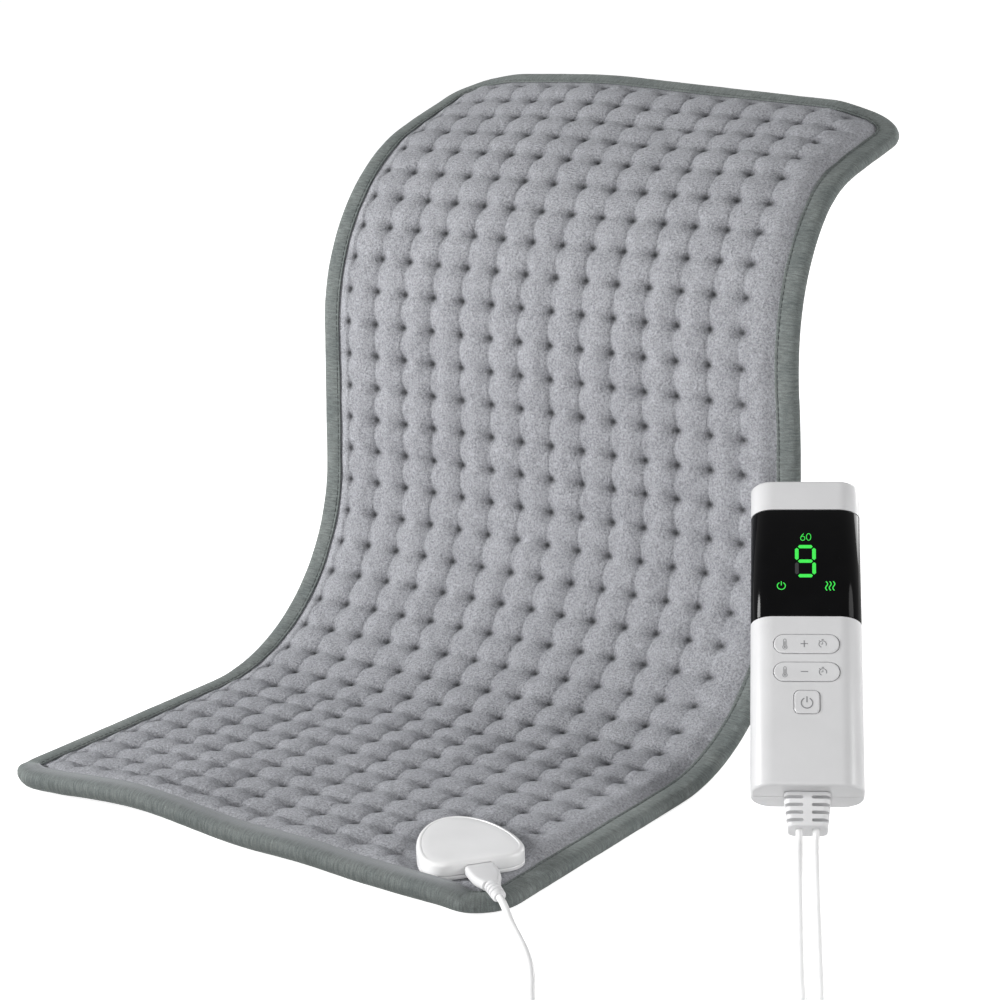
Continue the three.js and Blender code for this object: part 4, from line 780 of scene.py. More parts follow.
FLEECE = fleece_material("fleece_pile", srgb(161, 162, 167), srgb(171, 172, 177))
FELT = fleece_material("felt_fibre", srgb(214, 212, 206), srgb(232, 230, 224))
BINDING = binding_material("binding_velvet", srgb(105, 111, 110), srgb(121, 126, 124))
THREAD = thread_material("stitch_thread", srgb(100, 106, 105))
WHITE_PLASTIC = moulded("white_plastic_moulded", srgb(216, 216, 217), 0.36, coat=0.1)
SOCKET_WHITE = moulded("socket_white_moulded", srgb(250, 250, 250), 0.3, coat=0.15)
WHITE_RUBBER = moulded("white_rubber_moulded", srgb(228, 228, 229), 0.5)
CORD_WHITE = moulded("cord_sheath", srgb(250, 250, 250), 0.42, grain=1800.0)
BLACK_PLASTIC = moulded("black_plastic_moulded", srgb(28, 29, 32), 0.5)
LENS = glass_material("lens_black")
GREEN = lit_material("display_green", srgb(40, 245, 70))
UNLIT = moulded("display_unlit", srgb(26, 28, 30), 0.3)
SIGN = moulded("key_sign_print", srgb(122, 123, 125), 0.5)
BOARD = board_material("board_tracks")
STEEL = metal("steel_brushed", srgb(196, 198, 202), 0.32)
BRASS = metal("brass_brushed", srgb(214, 182, 112), 0.3)


# Camera, at the photo's view, in metres

CAMERA_AT = (0.7801, -0.9110, 0.4881)
CAMERA_RIGHT = (0.8098, 0.5859, -0.0313)
CAMERA_BACK = (0.5710, -0.7747, 0.2718)


def add_camera():
    camera = bpy.data.objects.new("camera", bpy.data.cameras.new("camera"))
    scene.collection.objects.link(camera)
    back = Vector(CAMERA_BACK).normalized()
    up = back.cross(Vector(CAMERA_RIGHT).normalized()).normalized()
    turn = Matrix((up.cross(back), up, back)).transposed().to_4x4()
    camera.matrix_world = Matrix.Translation(CAMERA_AT) @ turn
    camera.data.sensor_width = 36.0
    camera.data.lens = 92.7
    camera.data.clip_start = 0.01
    camera.data.clip_end = 50.0
    scene.camera = camera


add_camera()


# Cords

def add_cord(name, line, sides, nodes):
    """A cord along its line."""
    cord = add_object(name, *tube(line, CORD_DIAMETER / 2, sides), CORD_WHITE, 50)
    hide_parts(*nodes)
    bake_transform(cord)
    return cord


def add_pad_lead():
    """The two stretches of the pad's lead, which meet end to end."""
    loop_line = smooth_route([*PAD_LEAD_LOOP_ROUTE, *controller_run(-1)[::-1]])
    loop_line = np.vstack([loop_line, in_relief(-1, CORD_END_Y)])
    plug_line = np.vstack([smooth_route(PAD_LEAD_PLUG_ROUTE), loop_line[:1]])
    plug_cord = add_cord(
        "pad_lead_from_plug", plug_line, 14, ["pad_lead_plug_end"])
    start = cord_exit(-1)
    loop_line = loop_line[::-1]
    loop_cord = add_cord(
        "pad_lead_to_controller", loop_line, 14, ["pad_lead_controller_end"])


def add_mains_lead():
    line = np.vstack([in_relief(1, CORD_END_Y), mains_route()])
    start = cord_exit(1)
    cord = add_cord(
        "mains_lead_wound", line, 12, ["mains_lead", "mains_coil", "mains_tail"])
    return cord, line


add_pad_lead()
MAINS_CORD, MAINS_LINE = add_mains_lead()


# Pad shape: x across, s along the bent pad and n out of its face

def profile(s):
    """Place and slope along the pad's arcs."""
    s = np.asarray(s, float)
    y = np.full(s.shape, -SEAT_LENGTH / 2)
    z = np.full(s.shape, QUILT_HEIGHT)
    angle = np.zeros(s.shape)
    left = s.copy()
    for length, turn in PAD_ARCS:
        run = np.clip(left, 0, length)
        half = turn * run / length / 2
        chord = run * np.sinc(half / np.pi)
        y += chord * np.cos(angle + half)
        z += chord * np.sin(angle + half)
        angle += 2 * half
        left = left - run
    return y, z, angle


def front_wave(x, s):
    """The front edge lifts off the floor a little, left of its middle."""
    hump = sum(height * bell(x, middle, width) for height, middle, width in FRONT_LIFTS)
    return hump * bell(s, 0, FRONT_LIFT_REACH)


def top_bow(across, s):
    """The top edge arches between its corners, and the left corner hangs."""
    arch = TOP_BOW * smoothstep(0.02, 0.42, across) * smoothstep(0.0, 0.16, 1 - across)
    hang = LEFT_CORNER_HANG * (1 - smoothstep(0.0, 0.16, across))
    right_edge = RIGHT_EDGE_BULGE * bell(s, 535, 45) * smoothstep(0.55, 1.0, across)
    return arch * smoothstep(430, 600, s) - hang * smoothstep(525, 606, s) + right_edge


def pad_point(x, s, n):
    x, s, n = np.broadcast_arrays(*(np.asarray(v, float) for v in (x, s, n)))
    y, z, angle = profile(s)
    share = np.maximum(0, (s - TWIST_START) / (PAD_LENGTH - TWIST_START))
    across = x / PAD_WIDTH + 0.5
    rise = n + share * (TWIST_LEFT_RISE - (TWIST_LEFT_RISE + TWIST_RIGHT_DROP) * across)
    rise = rise + front_wave(x, s) + top_bow(across, s)
    gathered = x - TOP_GATHER * smoothstep(GATHER_START, GATHER_END, s) * across
    return np.stack([gathered, y - rise * np.sin(angle), z + rise * np.cos(angle)], axis=-1)


def half_width(s, inset):
    from_end = np.minimum(s, PAD_LENGTH - s)
    radius = CORNER_RADIUS - inset
    rise = np.clip(CORNER_RADIUS - from_end, 0, radius)
    rounded = PAD_WIDTH / 2 - CORNER_RADIUS + np.sqrt(np.maximum(radius ** 2 - rise ** 2, 0))
    return np.where(from_end >= CORNER_RADIUS, PAD_WIDTH / 2 - inset, rounded)


def egg_outline(inset, count=32):
    """The socket's outline, from five cubic curves."""
    front, back, half = SOCKET_FRONT - inset, inset - SOCKET_BACK, SOCKET_HALF_WIDTH - inset
    pieces = (
        ((-half * 0.5, front), (-half * 0.9, front), (-half, front * 0.62), (-half * 0.98, front * 0.28)),
        ((-half * 0.98, front * 0.28), (-half * 0.94, back * 0.42), (-half * 0.5, back), (0, back)),
        ((0, back), (half * 0.5, back), (half * 0.94, back * 0.42), (half * 0.98, front * 0.28)),
        ((half * 0.98, front * 0.28), (half, front * 0.62), (half * 0.9, front), (half * 0.5, front)),
        ((half * 0.5, front), (half * 0.2, front), (-half * 0.2, front), (-half * 0.5, front)),
    )
    points = []
    for corners in pieces:
        for k in range(count):
            t = k / count
            weights = ((1 - t) ** 3, 3 * t * (1 - t) ** 2, 3 * t * t * (1 - t), t ** 3)
            points.append(sum(w * np.array(p) for w, p in zip(weights, corners)))
    return np.array(points)


# Quilt

def places_along(marks, low, high):
    """Sample places: close together by each mark, and a few in each margin."""
    first = np.linspace(low, marks[0], EDGE_STEPS + 1)[:-1]
    between = np.concatenate([a + (b - a) * CELL_STEPS for a, b in zip(marks[:-1], marks[1:])])
    last = np.linspace(marks[-1], high, EDGE_STEPS + 1)
    return np.concatenate([first, between, last])


def fleece_grid():
    half = PAD_WIDTH / 2 - FLEECE_EDGE
    xs = places_along(COLUMNS, -half, half)
    ss = places_along(ROWS, FLEECE_EDGE, PAD_LENGTH - FLEECE_EDGE)
    s, x = np.meshgrid(ss, xs, indexing="ij")
    return x * (half_width(s, FLEECE_EDGE) / half), s


def cells(x, s):
    """Places counted in dimples, across and along."""
    return (x - COLUMNS[0]) / COLUMN_PITCH, (s - ROWS[0]) / ROW_PITCH


def to_dimple(u, v):
    """Millimetres from the nearest dimple, across and along."""
    column = np.clip(np.round(u), 0, len(COLUMNS) - 1)
    row = np.clip(np.round(v), 0, len(ROWS) - 1)
    return (u - column) * COLUMN_PITCH, (v - row) * ROW_PITCH


def wander(x, s):
    """How far the creases stray sideways between their dimples."""
    u, v = cells(x, s)
    u = np.clip(u, 0, len(COLUMNS) - 1)
    column = np.floor(u)
    share = u - column
    between = np.abs(np.sin(np.pi * np.clip(v, 0, len(ROWS) - 1))) ** 0.8
    stray = lambda k: noise(s / 15.0 + 13.7 * k, k * 5.3, 1)
    return CREASE_STRAY * between * (stray(column) * (1 - share) + stray(column + 1) * share)


def quilt_height(x, s, crown):
    """Height of the quilted face over the dimples' floor, and a mask from 0 to 1 of the dimples and creases,
    which the fleece's colour darkens as painted shade.
    """
    u, v = cells(x, s)
    inside = (u > 0) & (u < len(COLUMNS) - 1)
    within = (v > 0) & (v < len(ROWS) - 1)
    across = np.where(inside, np.abs(np.sin(np.pi * u)), 1.0)
    along = np.where(within, np.abs(np.sin(np.pi * v)), 1.0)

    # Crowns between the columns, with saddles over the creases
    saddle = 0.68 + 0.13 * noise(u + 3.1, v * 0.7, 2)
    height = 1 - (1 - across ** 0.5) * (1 - saddle * along ** 0.6)

    # Dips between the rows, deeper in the bends
    bend = 0.10 * bell(s, 240, 70) + 0.08 * bell(s, 560, 60) + 0.08 * bell(s, 0, 150)
    dip = 0.08 + 0.6 * bend + 0.10 * noise(u * 0.8, v * 0.9 + 7.7, 3)
    height = height * (1 - dip * (1 - along ** 0.75))
    height = height * (1 + 0.12 * noise(u * 0.9 + 5, v * 0.9, 4) + 0.06 * noise(u * 2.3, v * 2.1, 5))

    # Sewn dimples and the funnels round them
    off_column, off_row = to_dimple(u, v)
    reach = np.hypot(off_column / DIMPLE_STRETCH, off_row)
    # The dimples' mask: it keeps rumples out of the dimples, and it also carries painted shade in the
    # fleece's colour
    hollow_and_shade = bell(reach, 0, DIMPLE_RADIUS)
    height = height * (1 - FUNNEL_DEPTH * bell(reach, 0, FUNNEL_RADIUS))

    # Rumples, and slanting creases at the top right corner
    rumple = 0.08 * noise(x / 4.6 + 0.03 * s, s / 6.4, 6) + 0.04 * noise(x / 2.3, s / 2.9, 7)
    corner = smoothstep(430, 560, s) * smoothstep(60, 130, x)
    creases = 1 - np.abs(noise((x + 0.75 * s) / 21.0, (s - 0.75 * x) / 74.0, 8))
    rumple = rumple + corner * (0.34 * creases ** 3 - 0.1)
    # Painted shade along the creases, added to the dimples' mask
    crease_shade = 0.12 * (1 - across) ** 3 * (1 - hollow_and_shade)
    return crown * (height + rumple * (1 - hollow_and_shade)), np.clip(hollow_and_shade + crease_shade, 0, 1)


def from_socket(x, s):
    """Places on the seat in the socket's own measures."""
    return (np.stack([x, s - SEAT_LENGTH / 2], axis=-1) - SOCKET_AT[:2]) @ SOCKET_TURN_MATRIX[:2, :2]


def inside_outline(points, outline):
    inside = np.zeros(len(points), bool)
    for (ax, ay), (bx, by) in zip(outline, np.roll(outline, -1, axis=0)):
        crosses = (ay > points[:, 1]) != (by > points[:, 1])
        slope = (bx - ax) * (points[:, 1] - ay) / (by - ay + 1e-12) + ax
        inside ^= crosses & (points[:, 0] < slope)
    return inside


def pressed(x, s, n):
    """The quilt lies flat under the socket and in the way of its plug."""
    local = from_socket(x, s)
    outline = egg_outline(0.0, 12)
    near = (np.abs(local) < 70).all(axis=-1)
    clear = 99.0
    close = local[near]
    away = np.linalg.norm(close[:, None] - outline[None], axis=2).min(axis=1)
    gap = np.full(x.shape, clear)
    gap[near] = np.where(inside_outline(close, outline), 0, away)
    n = np.minimum(n, QUILT_UNDER_SOCKET + 4.6 * smoothstep(1.0, 11.0, gap))
    lane = np.maximum(np.abs(local[..., 0]) - PLUG_LANE_HALF_WIDTH, 0)
    ahead = (local[..., 1] > PLUG_LANE_START) & (local[..., 1] < PLUG_LANE_END)
    lane = np.where(ahead, lane, clear)
    return np.minimum(n, QUILT_UNDER_PLUG + 4.0 * smoothstep(0.0, 9.0, lane))


def plug_room(x, s):
    """From 0 in the way of the socket's plug to 1 clear of it."""
    local = from_socket(x, s)
    return np.where(local[..., 1] > 5, smoothstep(12.0, 26.0, np.abs(local[..., 0])), 1.0)


def front_roll(x, s):
    """How much of the front edge's fat roll a place has."""
    return (1 - smoothstep(3.0, 20.0, s)) * plug_room(x, s)


def edge_fade(x, s, inset):
    """From 0 at the binding's seam to 1 well inside; at the front the quilt runs on over the roll."""
    side = half_width(s, inset) - np.abs(x)
    front_inset = inset + (FRONT_SEAM - inset) * plug_room(x, s)
    end = np.minimum(s - front_inset, PAD_LENGTH - s - inset)
    return smoothstep(0, SEAM_FADE, np.minimum(side, end))


def grid_faces(rows, columns):
    index = np.arange(rows * columns).reshape(rows, columns)
    quads = np.stack([index[:-1, :-1], index[:-1, 1:], index[1:, 1:], index[1:, :-1]], axis=-1)
    rim = np.concatenate([index[0, :-1], index[:-1, -1], index[-1, :0:-1], index[:0:-1, 0]])
    return quads.reshape(-1, 4), rim


def add_layer(name, x, s, top, bottom, material, hollow_and_shade):
    """A closed layer of the pad between two heights over the same grid."""
    quads, rim = grid_faces(*x.shape)
    count = x.size
    vertices = np.concatenate([pad_point(x, s, n).reshape(-1, 3) for n in (top, bottom)])
    ring = np.stack([rim, rim + count, np.roll(rim, -1) + count, np.roll(rim, -1)], axis=-1)
    faces = np.concatenate([quads, quads[:, ::-1] + count, ring]).tolist()
    piece = add_object(name, vertices, faces, material)
    sheet = np.stack([x, s, x * 0], axis=-1).reshape(-1, 3) * MM
    store(piece, "sheet", np.concatenate([sheet, sheet]), "FLOAT_VECTOR")
    # Painted shade in the dimples and creases, kept for each corner
    flat = np.broadcast_to(hollow_and_shade, x.shape).reshape(-1)
    store(piece, "hollow_and_shade", np.concatenate([flat, flat]))
    return piece


def cut_sheet(start, u, v):
    """The flat sheet before sewing, cut a little full and unevenly so."""
    rows, columns = u.shape
    wide = np.linalg.norm(np.diff(start, axis=1), axis=-1)
    long = np.linalg.norm(np.diff(start, axis=0), axis=-1)
    full_x = 1.03 + 0.09 * noise(u * 0.9, v * 0.9, 12)
    full_s = 1.09 + 0.13 * noise(u * 1.1 + 4, v * 1.1, 13)
    wide = wide * (full_x[:, 1:] + full_x[:, :-1]) / 2
    long = long * (full_s[1:] + full_s[:-1]) / 2
    flat_x = np.concatenate([np.zeros((rows, 1)), np.cumsum(wide, axis=1)], axis=1)
    flat_s = np.concatenate([np.zeros((1, columns)), np.cumsum(long, axis=0)], axis=0)
    flat_x -= flat_x.mean(axis=1, keepdims=True)
    flat_s -= flat_s.mean(axis=0, keepdims=True)
    return np.stack([flat_x, flat_s, flat_x * 0], axis=-1)


def relaxed(x, s, strayed, top, fade):
    """Cloth over the filling: held at the dimples and the seam, and puffed up.

    The sheet is simulated flat, in centimetres, and bent to the pad's shape afterwards.
    """
    rows, columns = x.shape
    index = np.arange(x.size).reshape(rows, columns)
    start = np.stack([strayed, s, top], axis=-1) / CLOTH_SCALE
    mesh = bpy.data.meshes.new("cloth_try")
    mesh.from_pydata(start.reshape(-1, 3).tolist(), [], grid_faces(rows, columns)[0].tolist())
    sheet = bpy.data.objects.new("cloth_try", mesh)
    scene.collection.objects.link(sheet)

    u, v = cells(x, s)
    held = (np.hypot(*to_dimple(u, v)) < HELD_RADIUS) | (fade < 0.02)
    group = sheet.vertex_groups.new(name="held")
    group.add(index[held].tolist(), 1.0, "REPLACE")
    group.add(index[~held].tolist(), LOOSE_PIN, "REPLACE")
    sheet.shape_key_add(name="Basis")
    cut_size = sheet.shape_key_add(name="cut_size")
    cut_size.data.foreach_set("co", cut_sheet(start, u, v).astype(np.float32).ravel())

    cloth = sheet.modifiers.new("cloth", "CLOTH")
    cloth.collision_settings.use_collision = False
    cloth.point_cache.frame_start = 1
    cloth.point_cache.frame_end = CLOTH_FRAMES
    fabric = cloth.settings
    fabric.rest_shape_key = cut_size
    fabric.vertex_group_mass = "held"
    fabric.pin_stiffness = 1.0
    fabric.quality = 5
    fabric.mass = 0.05
    fabric.tension_stiffness = fabric.compression_stiffness = 15
    fabric.shear_stiffness = 3
    fabric.bending_stiffness = 0.0008
    fabric.tension_damping = fabric.compression_damping = fabric.shear_damping = 8
    fabric.bending_damping = 0.5
    fabric.air_damping = 3.0
    fabric.use_pressure = True
    fabric.uniform_pressure_force = 0.15
    fabric.effector_weights.gravity = 0.0
    for step in range(1, CLOTH_FRAMES + 1):
        scene.frame_set(step)
    settled = sheet.evaluated_get(bpy.context.evaluated_depsgraph_get())
    places = np.empty(x.size * 3, np.float32)
    settled.data.vertices.foreach_get("co", places)
    scene.frame_set(1)
    bpy.data.objects.remove(sheet)
    bpy.data.meshes.remove(mesh)
    cap = CLOTH_CAP / CLOTH_SCALE
    moved = np.clip(places.reshape(rows, columns, 3) - start, -cap, cap)
    return np.moveaxis((start + moved) * CLOTH_SCALE, -1, 0)


def add_front_fleece(x, s, fade):
    strayed = x + wander(x, s)
    height, hollow_and_shade = quilt_height(x, s, CROWN_HEIGHT)
    top = FLEECE_LOW + (pressed(strayed, s, height) - FLEECE_LOW) * fade + SEAM_HEIGHT * (1 - fade)
    under_roll = 0.3 + ROLL_RISE * smoothstep(6.0, 12.0, s) * plug_room(x, s)
    top = np.where(s < BINDING_WIDTH, np.minimum(top, under_roll), top)
    at_x, at_s = strayed, s
    at_x, at_s, top = relaxed(x, s, strayed, top, fade)
    top = pressed(at_x, at_s, top)
    top = np.maximum(top, FLEECE_LOW)
    floor = np.full(x.shape, FLEECE_FLOOR)
    # The front's dimples and creases get painted shade in their colour, fading out at the seam
    front = add_layer("front_fleece_quilt", at_x, at_s, top, floor, FLEECE, hollow_and_shade * fade)
    dress(front, "pad", "fleece_grey", "front_fleece")


def add_back_fleece(x, s, fade):
    """The back has shallower dimples, which are not in line with the front's."""
    height, hollow_and_shade = quilt_height(-x - 5, s, BACK_CROWN_HEIGHT)
    low = BACK_LOW - np.clip(height, 0, BACK_CROWN_LIMIT) * fade
    top = np.full(x.shape, BACK_TOP)
    # Painted shade in the back's dimples, a little weaker than the front's
    back = add_layer("back_fleece_sheet", x, s, top, low, FLEECE, hollow_and_shade * 0.8 * fade)
    return dress(back, "pad", "fleece_grey", "back_fleece")


def add_felt(x, s):
    x, s = x[::3, ::3], s[::3, ::3]
    wave = 0.12 * noise(x / 17, s / 19, 9)
    felt = add_layer("felt_core_sheet", x, s, FELT_TOP + wave, FELT_LOW + wave, FELT, 0.0)
    return dress(felt, "pad", "felt_white", "felt_core")


def add_wire():
    """The heating wire to and fro between the felt and the front fleece."""
    places, sign = [], 1
    turns = np.radians(np.linspace(-80, 80, 17))
    for row in range(1, len(ROWS), 2):
        places += [(sign * x, ROWS[row]) for x in np.linspace(-WIRE_RUN_HALF, WIRE_RUN_HALF, 55)]
        if row + 2 < len(ROWS):
            for a in turns:
                x = WIRE_RUN_HALF + ROW_PITCH * math.cos(a)
                places.append((sign * x, ROWS[row] + ROW_PITCH * (1 + math.sin(a))))
        sign = -sign
    places = np.array(places)
    line = pad_point(places[:, 0], places[:, 1], WIRE_HEIGHT)
    wire = add_object("heating_wire_sleeve", *tube(line, WIRE_RADIUS, 8), BLACK_PLASTIC, 50)
    dress(wire, "pad", "wire_sleeve", "heating_wire")


# Binding and stitches

def outline_places(inset, step):
    """Places round the pad's outline, and the way out of it at each."""
    half_x, half_s = PAD_WIDTH / 2 - CORNER_RADIUS, PAD_LENGTH / 2 - CORNER_RADIUS
    made = []
    for corner, (sx, ss) in enumerate(((1, -1), (1, 1), (-1, 1), (-1, -1))):
        centre = np.array([sx * half_x, PAD_LENGTH / 2 + ss * half_s])
        start = -math.pi / 2 + corner * math.pi / 2
        turns = max(6, int(CORNER_RADIUS * math.pi / 2 / step))
        for k in range(turns + 1):
            angle = start + math.pi / 2 * k / turns
            out = np.array([math.cos(angle), math.sin(angle)])
            made.append((*(centre + out * (CORNER_RADIUS - inset)), *out))
        side = (PAD_LENGTH if corner in (0, 2) else PAD_WIDTH) - 2 * CORNER_RADIUS
        ahead = np.array([-out[1], out[0]])
        count = int(side / step)
        last = np.array(made[-1][:2])
        for k in range(1, count):
            made.append((*(last + ahead * side * k / count), *out))
    return np.array(made)


# The strip's section, as inset from the edge and height: outside, round the edge, then inside
BINDING_OUTSIDE = (
    (12.0, 0.75), (12.05, 1.05), (11.9, 1.32), (11.4, 1.5), (10.9, 1.3), (10.4, 1.22), (9.9, 1.34),
    (8.8, 1.62), (7.0, 1.72), (5.0, 1.7), (3.4, 1.52), (2.0, 1.08), (0.9, 0.3), (0.25, -0.7),
    (0.0, -1.9), (0.2, -3.2), (0.8, -4.3), (1.8, -5.1), (3.2, -5.55), (5.0, -5.7), (8.0, -5.7),
    (10.2, -5.55), (11.6, -5.6), (12.0, -5.35),
)
BINDING_INSIDE = (
    (12.0, -4.85), (8.0, -4.7), (3.4, -4.5), (2.0, -3.6), (1.5, -2.0), (2.0, -0.2), (3.4, 0.55), (8.0, 0.72),
)


def add_binding():
    places = outline_places(0.0, 3.0)
    section = np.array(BINDING_OUTSIDE + BINDING_INSIDE)
    depth, height = section.T
    over = distances(section)
    rippled = (np.arange(len(section)) < len(BINDING_OUTSIDE)) & (height > -5.2)
    rings, sheet, pale, underside_shade = [], [], [], []
    for (x, s, ox, os), distance in zip(places, distances(places[:, :2])):
        fat = float(front_roll(x, s))
        ripple = 0.10 * noise(distance / 9.0, depth / 6.0, 10)
        ripple = ripple + 0.06 * noise(distance / 3.1, depth / 3.0, 11)
        rise = height + ripple * rippled
        rise += fat * ROLL_RISE * smoothstep(-4.5, 1.0, height)
        inset = depth + 0.35 * noise(distance / 14.0, 0.5, 12) * (depth > 9)
        inset = inset + fat * 1.9 * smoothstep(-1.0, -5.4, height) * (depth < 7)
        rings.append(pad_point(x - ox * inset, s - os * inset, rise))
        sheet.append(np.column_stack([np.full(len(section), distance), over, over * 0]))
        pale.append(fat * smoothstep(1.0, 9.0, depth) * (height > -1))
        # Where the painted shade under the front roll goes
        underside_shade.append(fat * smoothstep(1.2, -4.5, height))
    piece = outward(add_object("edge_binding_strip", *loft_round(rings), BINDING))
    shade(piece)
    store(piece, "sheet", np.concatenate(sheet) * MM, "FLOAT_VECTOR")
    store(piece, "pale", np.concatenate(pale))
    store(piece, "underside_shade", np.concatenate(underside_shade))
    return dress(piece, "pad", "binding_grey", "edge_binding")


def add_stitches():
    """A row of stitches along the binding's inner edge."""
    places = outline_places(STITCH_INSET, 1.0)
    line = pad_point(places[:, 0], places[:, 1], STITCH_HEIGHT)
    line = np.vstack([line, line[:1]])
    run = distances(line)
    made = []
    for k in range(int(run[-1] / STITCH_PITCH)):
        spots = k * STITCH_PITCH + np.linspace(0, STITCH_LENGTH, 5)
        points = np.column_stack([np.interp(spots, run, line[:, i]) for i in range(3)])
        along = points[-1] - points[0]
        along /= np.linalg.norm(along)
        side = np.cross(along, Z_AXIS)
        if np.linalg.norm(side) < 0.2:
            side = np.cross(along, Y_AXIS)
        side /= np.linalg.norm(side)
        normal = np.cross(side, along)
        sizes = (0.12, 0.27, 0.3, 0.27, 0.12)
        made.append(loft([hoop(p, r, side, normal, 6) for p, r in zip(points, sizes)]))
    piece = add_object("binding_stitches", *merged(made), THREAD)
    return dress(piece, "pad", "binding_grey")


def add_pad():
    x, s = fleece_grid()
    fade = edge_fade(x, s, BINDING_WIDTH + 0.4)
    add_front_fleece(x, s, fade)
    back = add_back_fleece(x, s, fade)
    felt = add_felt(x, s)
    add_wire()
    around = [add_binding(), add_stitches()]


add_pad()


# Socket and plug

# Walls from the bottom up, as inset and height
SOCKET_BASE_WALLS = ((0.7, 7.0), (0.25, 7.12), (0.0, 7.5), (0.0, 8.7), (0.18, 9.0))
SOCKET_COVER_WALLS = (
    (0.2, 9.25), (0.0, 9.5), (0.0, 13.6), (0.12, 14.3), (0.5, 15.0), (1.1, 15.42), (1.8, 15.6), (2.3, 15.6),
    (2.42, 15.42), (2.6, 15.36), (2.78, 15.42), (3.2, 15.5), (7.0, 15.54), (14.0, 15.56),
)
SOCKET_MOUTH = ((-5.75, 8.7, 8.85), (5.75, 22, 13.6))

# Sections along the plug, as place, width, thickness and rounding
PLUG_SECTIONS = (
    (20.4, 13.4, 4.2, 1.3), (20.55, 14.1, 4.75, 1.6), (21.0, 14.4, 5.0, 1.8), (27.0, 14.1, 5.0, 1.8),
    (32.0, 13.5, 5.0, 1.9), (34.4, 12.6, 5.0, 2.0), (36.4, 11.0, 4.95, 2.1), (38.0, 9.7, 4.9, 2.2),
    (39.6, 9.1, 4.85, 2.2), (40.2, 8.8, 4.7, 2.1), (40.4, 8.2, 4.2, 1.9),
)
PLUG_NOSE_SECTIONS = ((9.0, 10.0, 3.5, 0.5), (9.35, 10.8, 4.1, 0.7), (20.5, 10.8, 4.1, 0.7))


def egg_walls(walls):
    return loft([level(egg_outline(inset), z) for inset, z in walls])


def add_socket():
    base = add_carved("socket_base_tray", egg_walls(SOCKET_BASE_WALLS), at_socket, SOCKET_WHITE, 35)
    dress(base, "pad", "white_plastic", "socket_base")
    cover = egg_walls(SOCKET_COVER_WALLS)
    mouth = box_faces(*SOCKET_MOUTH)
    cover = add_carved("socket_cover_shell", cover, at_socket, SOCKET_WHITE, 35, mouth)
    dress(cover, "pad", "white_plastic", "socket_cover")


def plug_ring(y, width, thickness, radius):
    radius = min(radius, thickness / 2 - 0.05, width / 2 - 0.05)
    return upright(rounded_rectangle(width, thickness, radius, 6), y, PLUG_AXIS_HEIGHT)


def add_plug():
    body = [loft([plug_ring(*row) for row in rows]) for rows in (PLUG_SECTIONS, PLUG_NOSE_SECTIONS)]
    grip = add_closed("plug_grip", merged(body), at_socket, WHITE_RUBBER, 40)
    dress(grip, "pad_plug", "white_rubber", "plug_body")
    rib = ((-0.15, 0.0), (0.0, 0.25), (0.0, 1.75), (-0.2, 2.0))
    groove = ((-0.75, 2.15), (-0.75, 2.85))
    outline = [
        (1.6, 40.7), (2.5, 40.7), (3.0, 40.8), *ribs(4, (3.2, 41.0), (-0.1, 3.05), rib, groove),
        (2.2, 53.1), (1.75, 53.2)]
    vertices, faces = lathe(outline, PLUG_AXIS_HEIGHT)
    vertices[:, 0] *= 1.12
    boot = add_closed("plug_boot_ribs", (vertices, faces), at_socket, WHITE_RUBBER, 40)
    dress(boot, "pad_plug", "white_rubber", "plug_boot")


add_socket()
add_plug()


# Controller housing

def body_ring(y, inset, steps=14):
    size = (BODY_WIDTH - 2 * inset, BODY_DEPTH - 2 * inset)
    return upright(rounded_rectangle(*size, BODY_ROUNDING - inset, steps), y)


def body_solid(inset, rounding):
    """The housing's body, inset all round, with rounded ends."""
    low, high = inset, BODY_LENGTH - inset
    start = []
    for angle in np.radians((0, 18, 36, 54, 72, 90)):
        start.append((low + rounding * (1 - math.cos(angle)), inset + rounding * (1 - math.sin(angle))))
    end = [(high - (y - low), i) for y, i in start[::-1]]
    return loft([body_ring(y, i) for y, i in (*start, *end)])


def pill(length, height, steps=16):
    return rounded_rectangle(length, height, height / 2 - 0.01, steps)


def half_box(side, low_y, high_y):
    """The part of the housing that a side's shell leaves out, with its half of the parting gap."""
    far, edge = -CUTTER_REACH * side, HALF_PARTING * side
    return box_faces((-CUTTER_REACH, low_y, min(far, edge)), (CUTTER_REACH, high_y, max(far, edge)))


def add_shell(name, side, node_name):
    shell = add_object(name, *place(body_solid(0.0, 1.6), at_controller), WHITE_PLASTIC)
    carve(shell, body_solid(WALL, 1.0), at_controller)
    carve(shell, half_box(side, -20, 200), at_controller)
    carve(shell, box_faces(*RELIEF_MOUTH), at_controller)
    if side > 0:
        band = box_faces((-CUTTER_REACH, LENS_BOTTOM, -1), (CUTTER_REACH, LENS_TOP, CUTTER_REACH))
        recess = add_object("cutter", *place(band, at_controller), None)
        carve(recess, loft([body_ring(y, LENS_THICKNESS + LENS_FIT) for y in (80.0, 156.0)]), at_controller)
        cut(shell, recess)
        rocker = pill(ROCKER_LENGTH + 2 * KEY_FIT, ROCKER_HEIGHT + 2 * KEY_FIT)
        power_size = POWER_KEY_SIZE + 2 * KEY_FIT
        power = rounded_rectangle(power_size, power_size, POWER_KEY_ROUNDING + KEY_FIT)
        for hole, y in ((rocker, PLUS_ROCKER_Y), (rocker, MINUS_ROCKER_Y), (power, POWER_KEY_Y)):
            carve(shell, prism(hole + np.array([0, y]), 8, 20), at_controller)
    shade(shell, 30)
    dress(shell, "controller", "white_plastic", node_name)


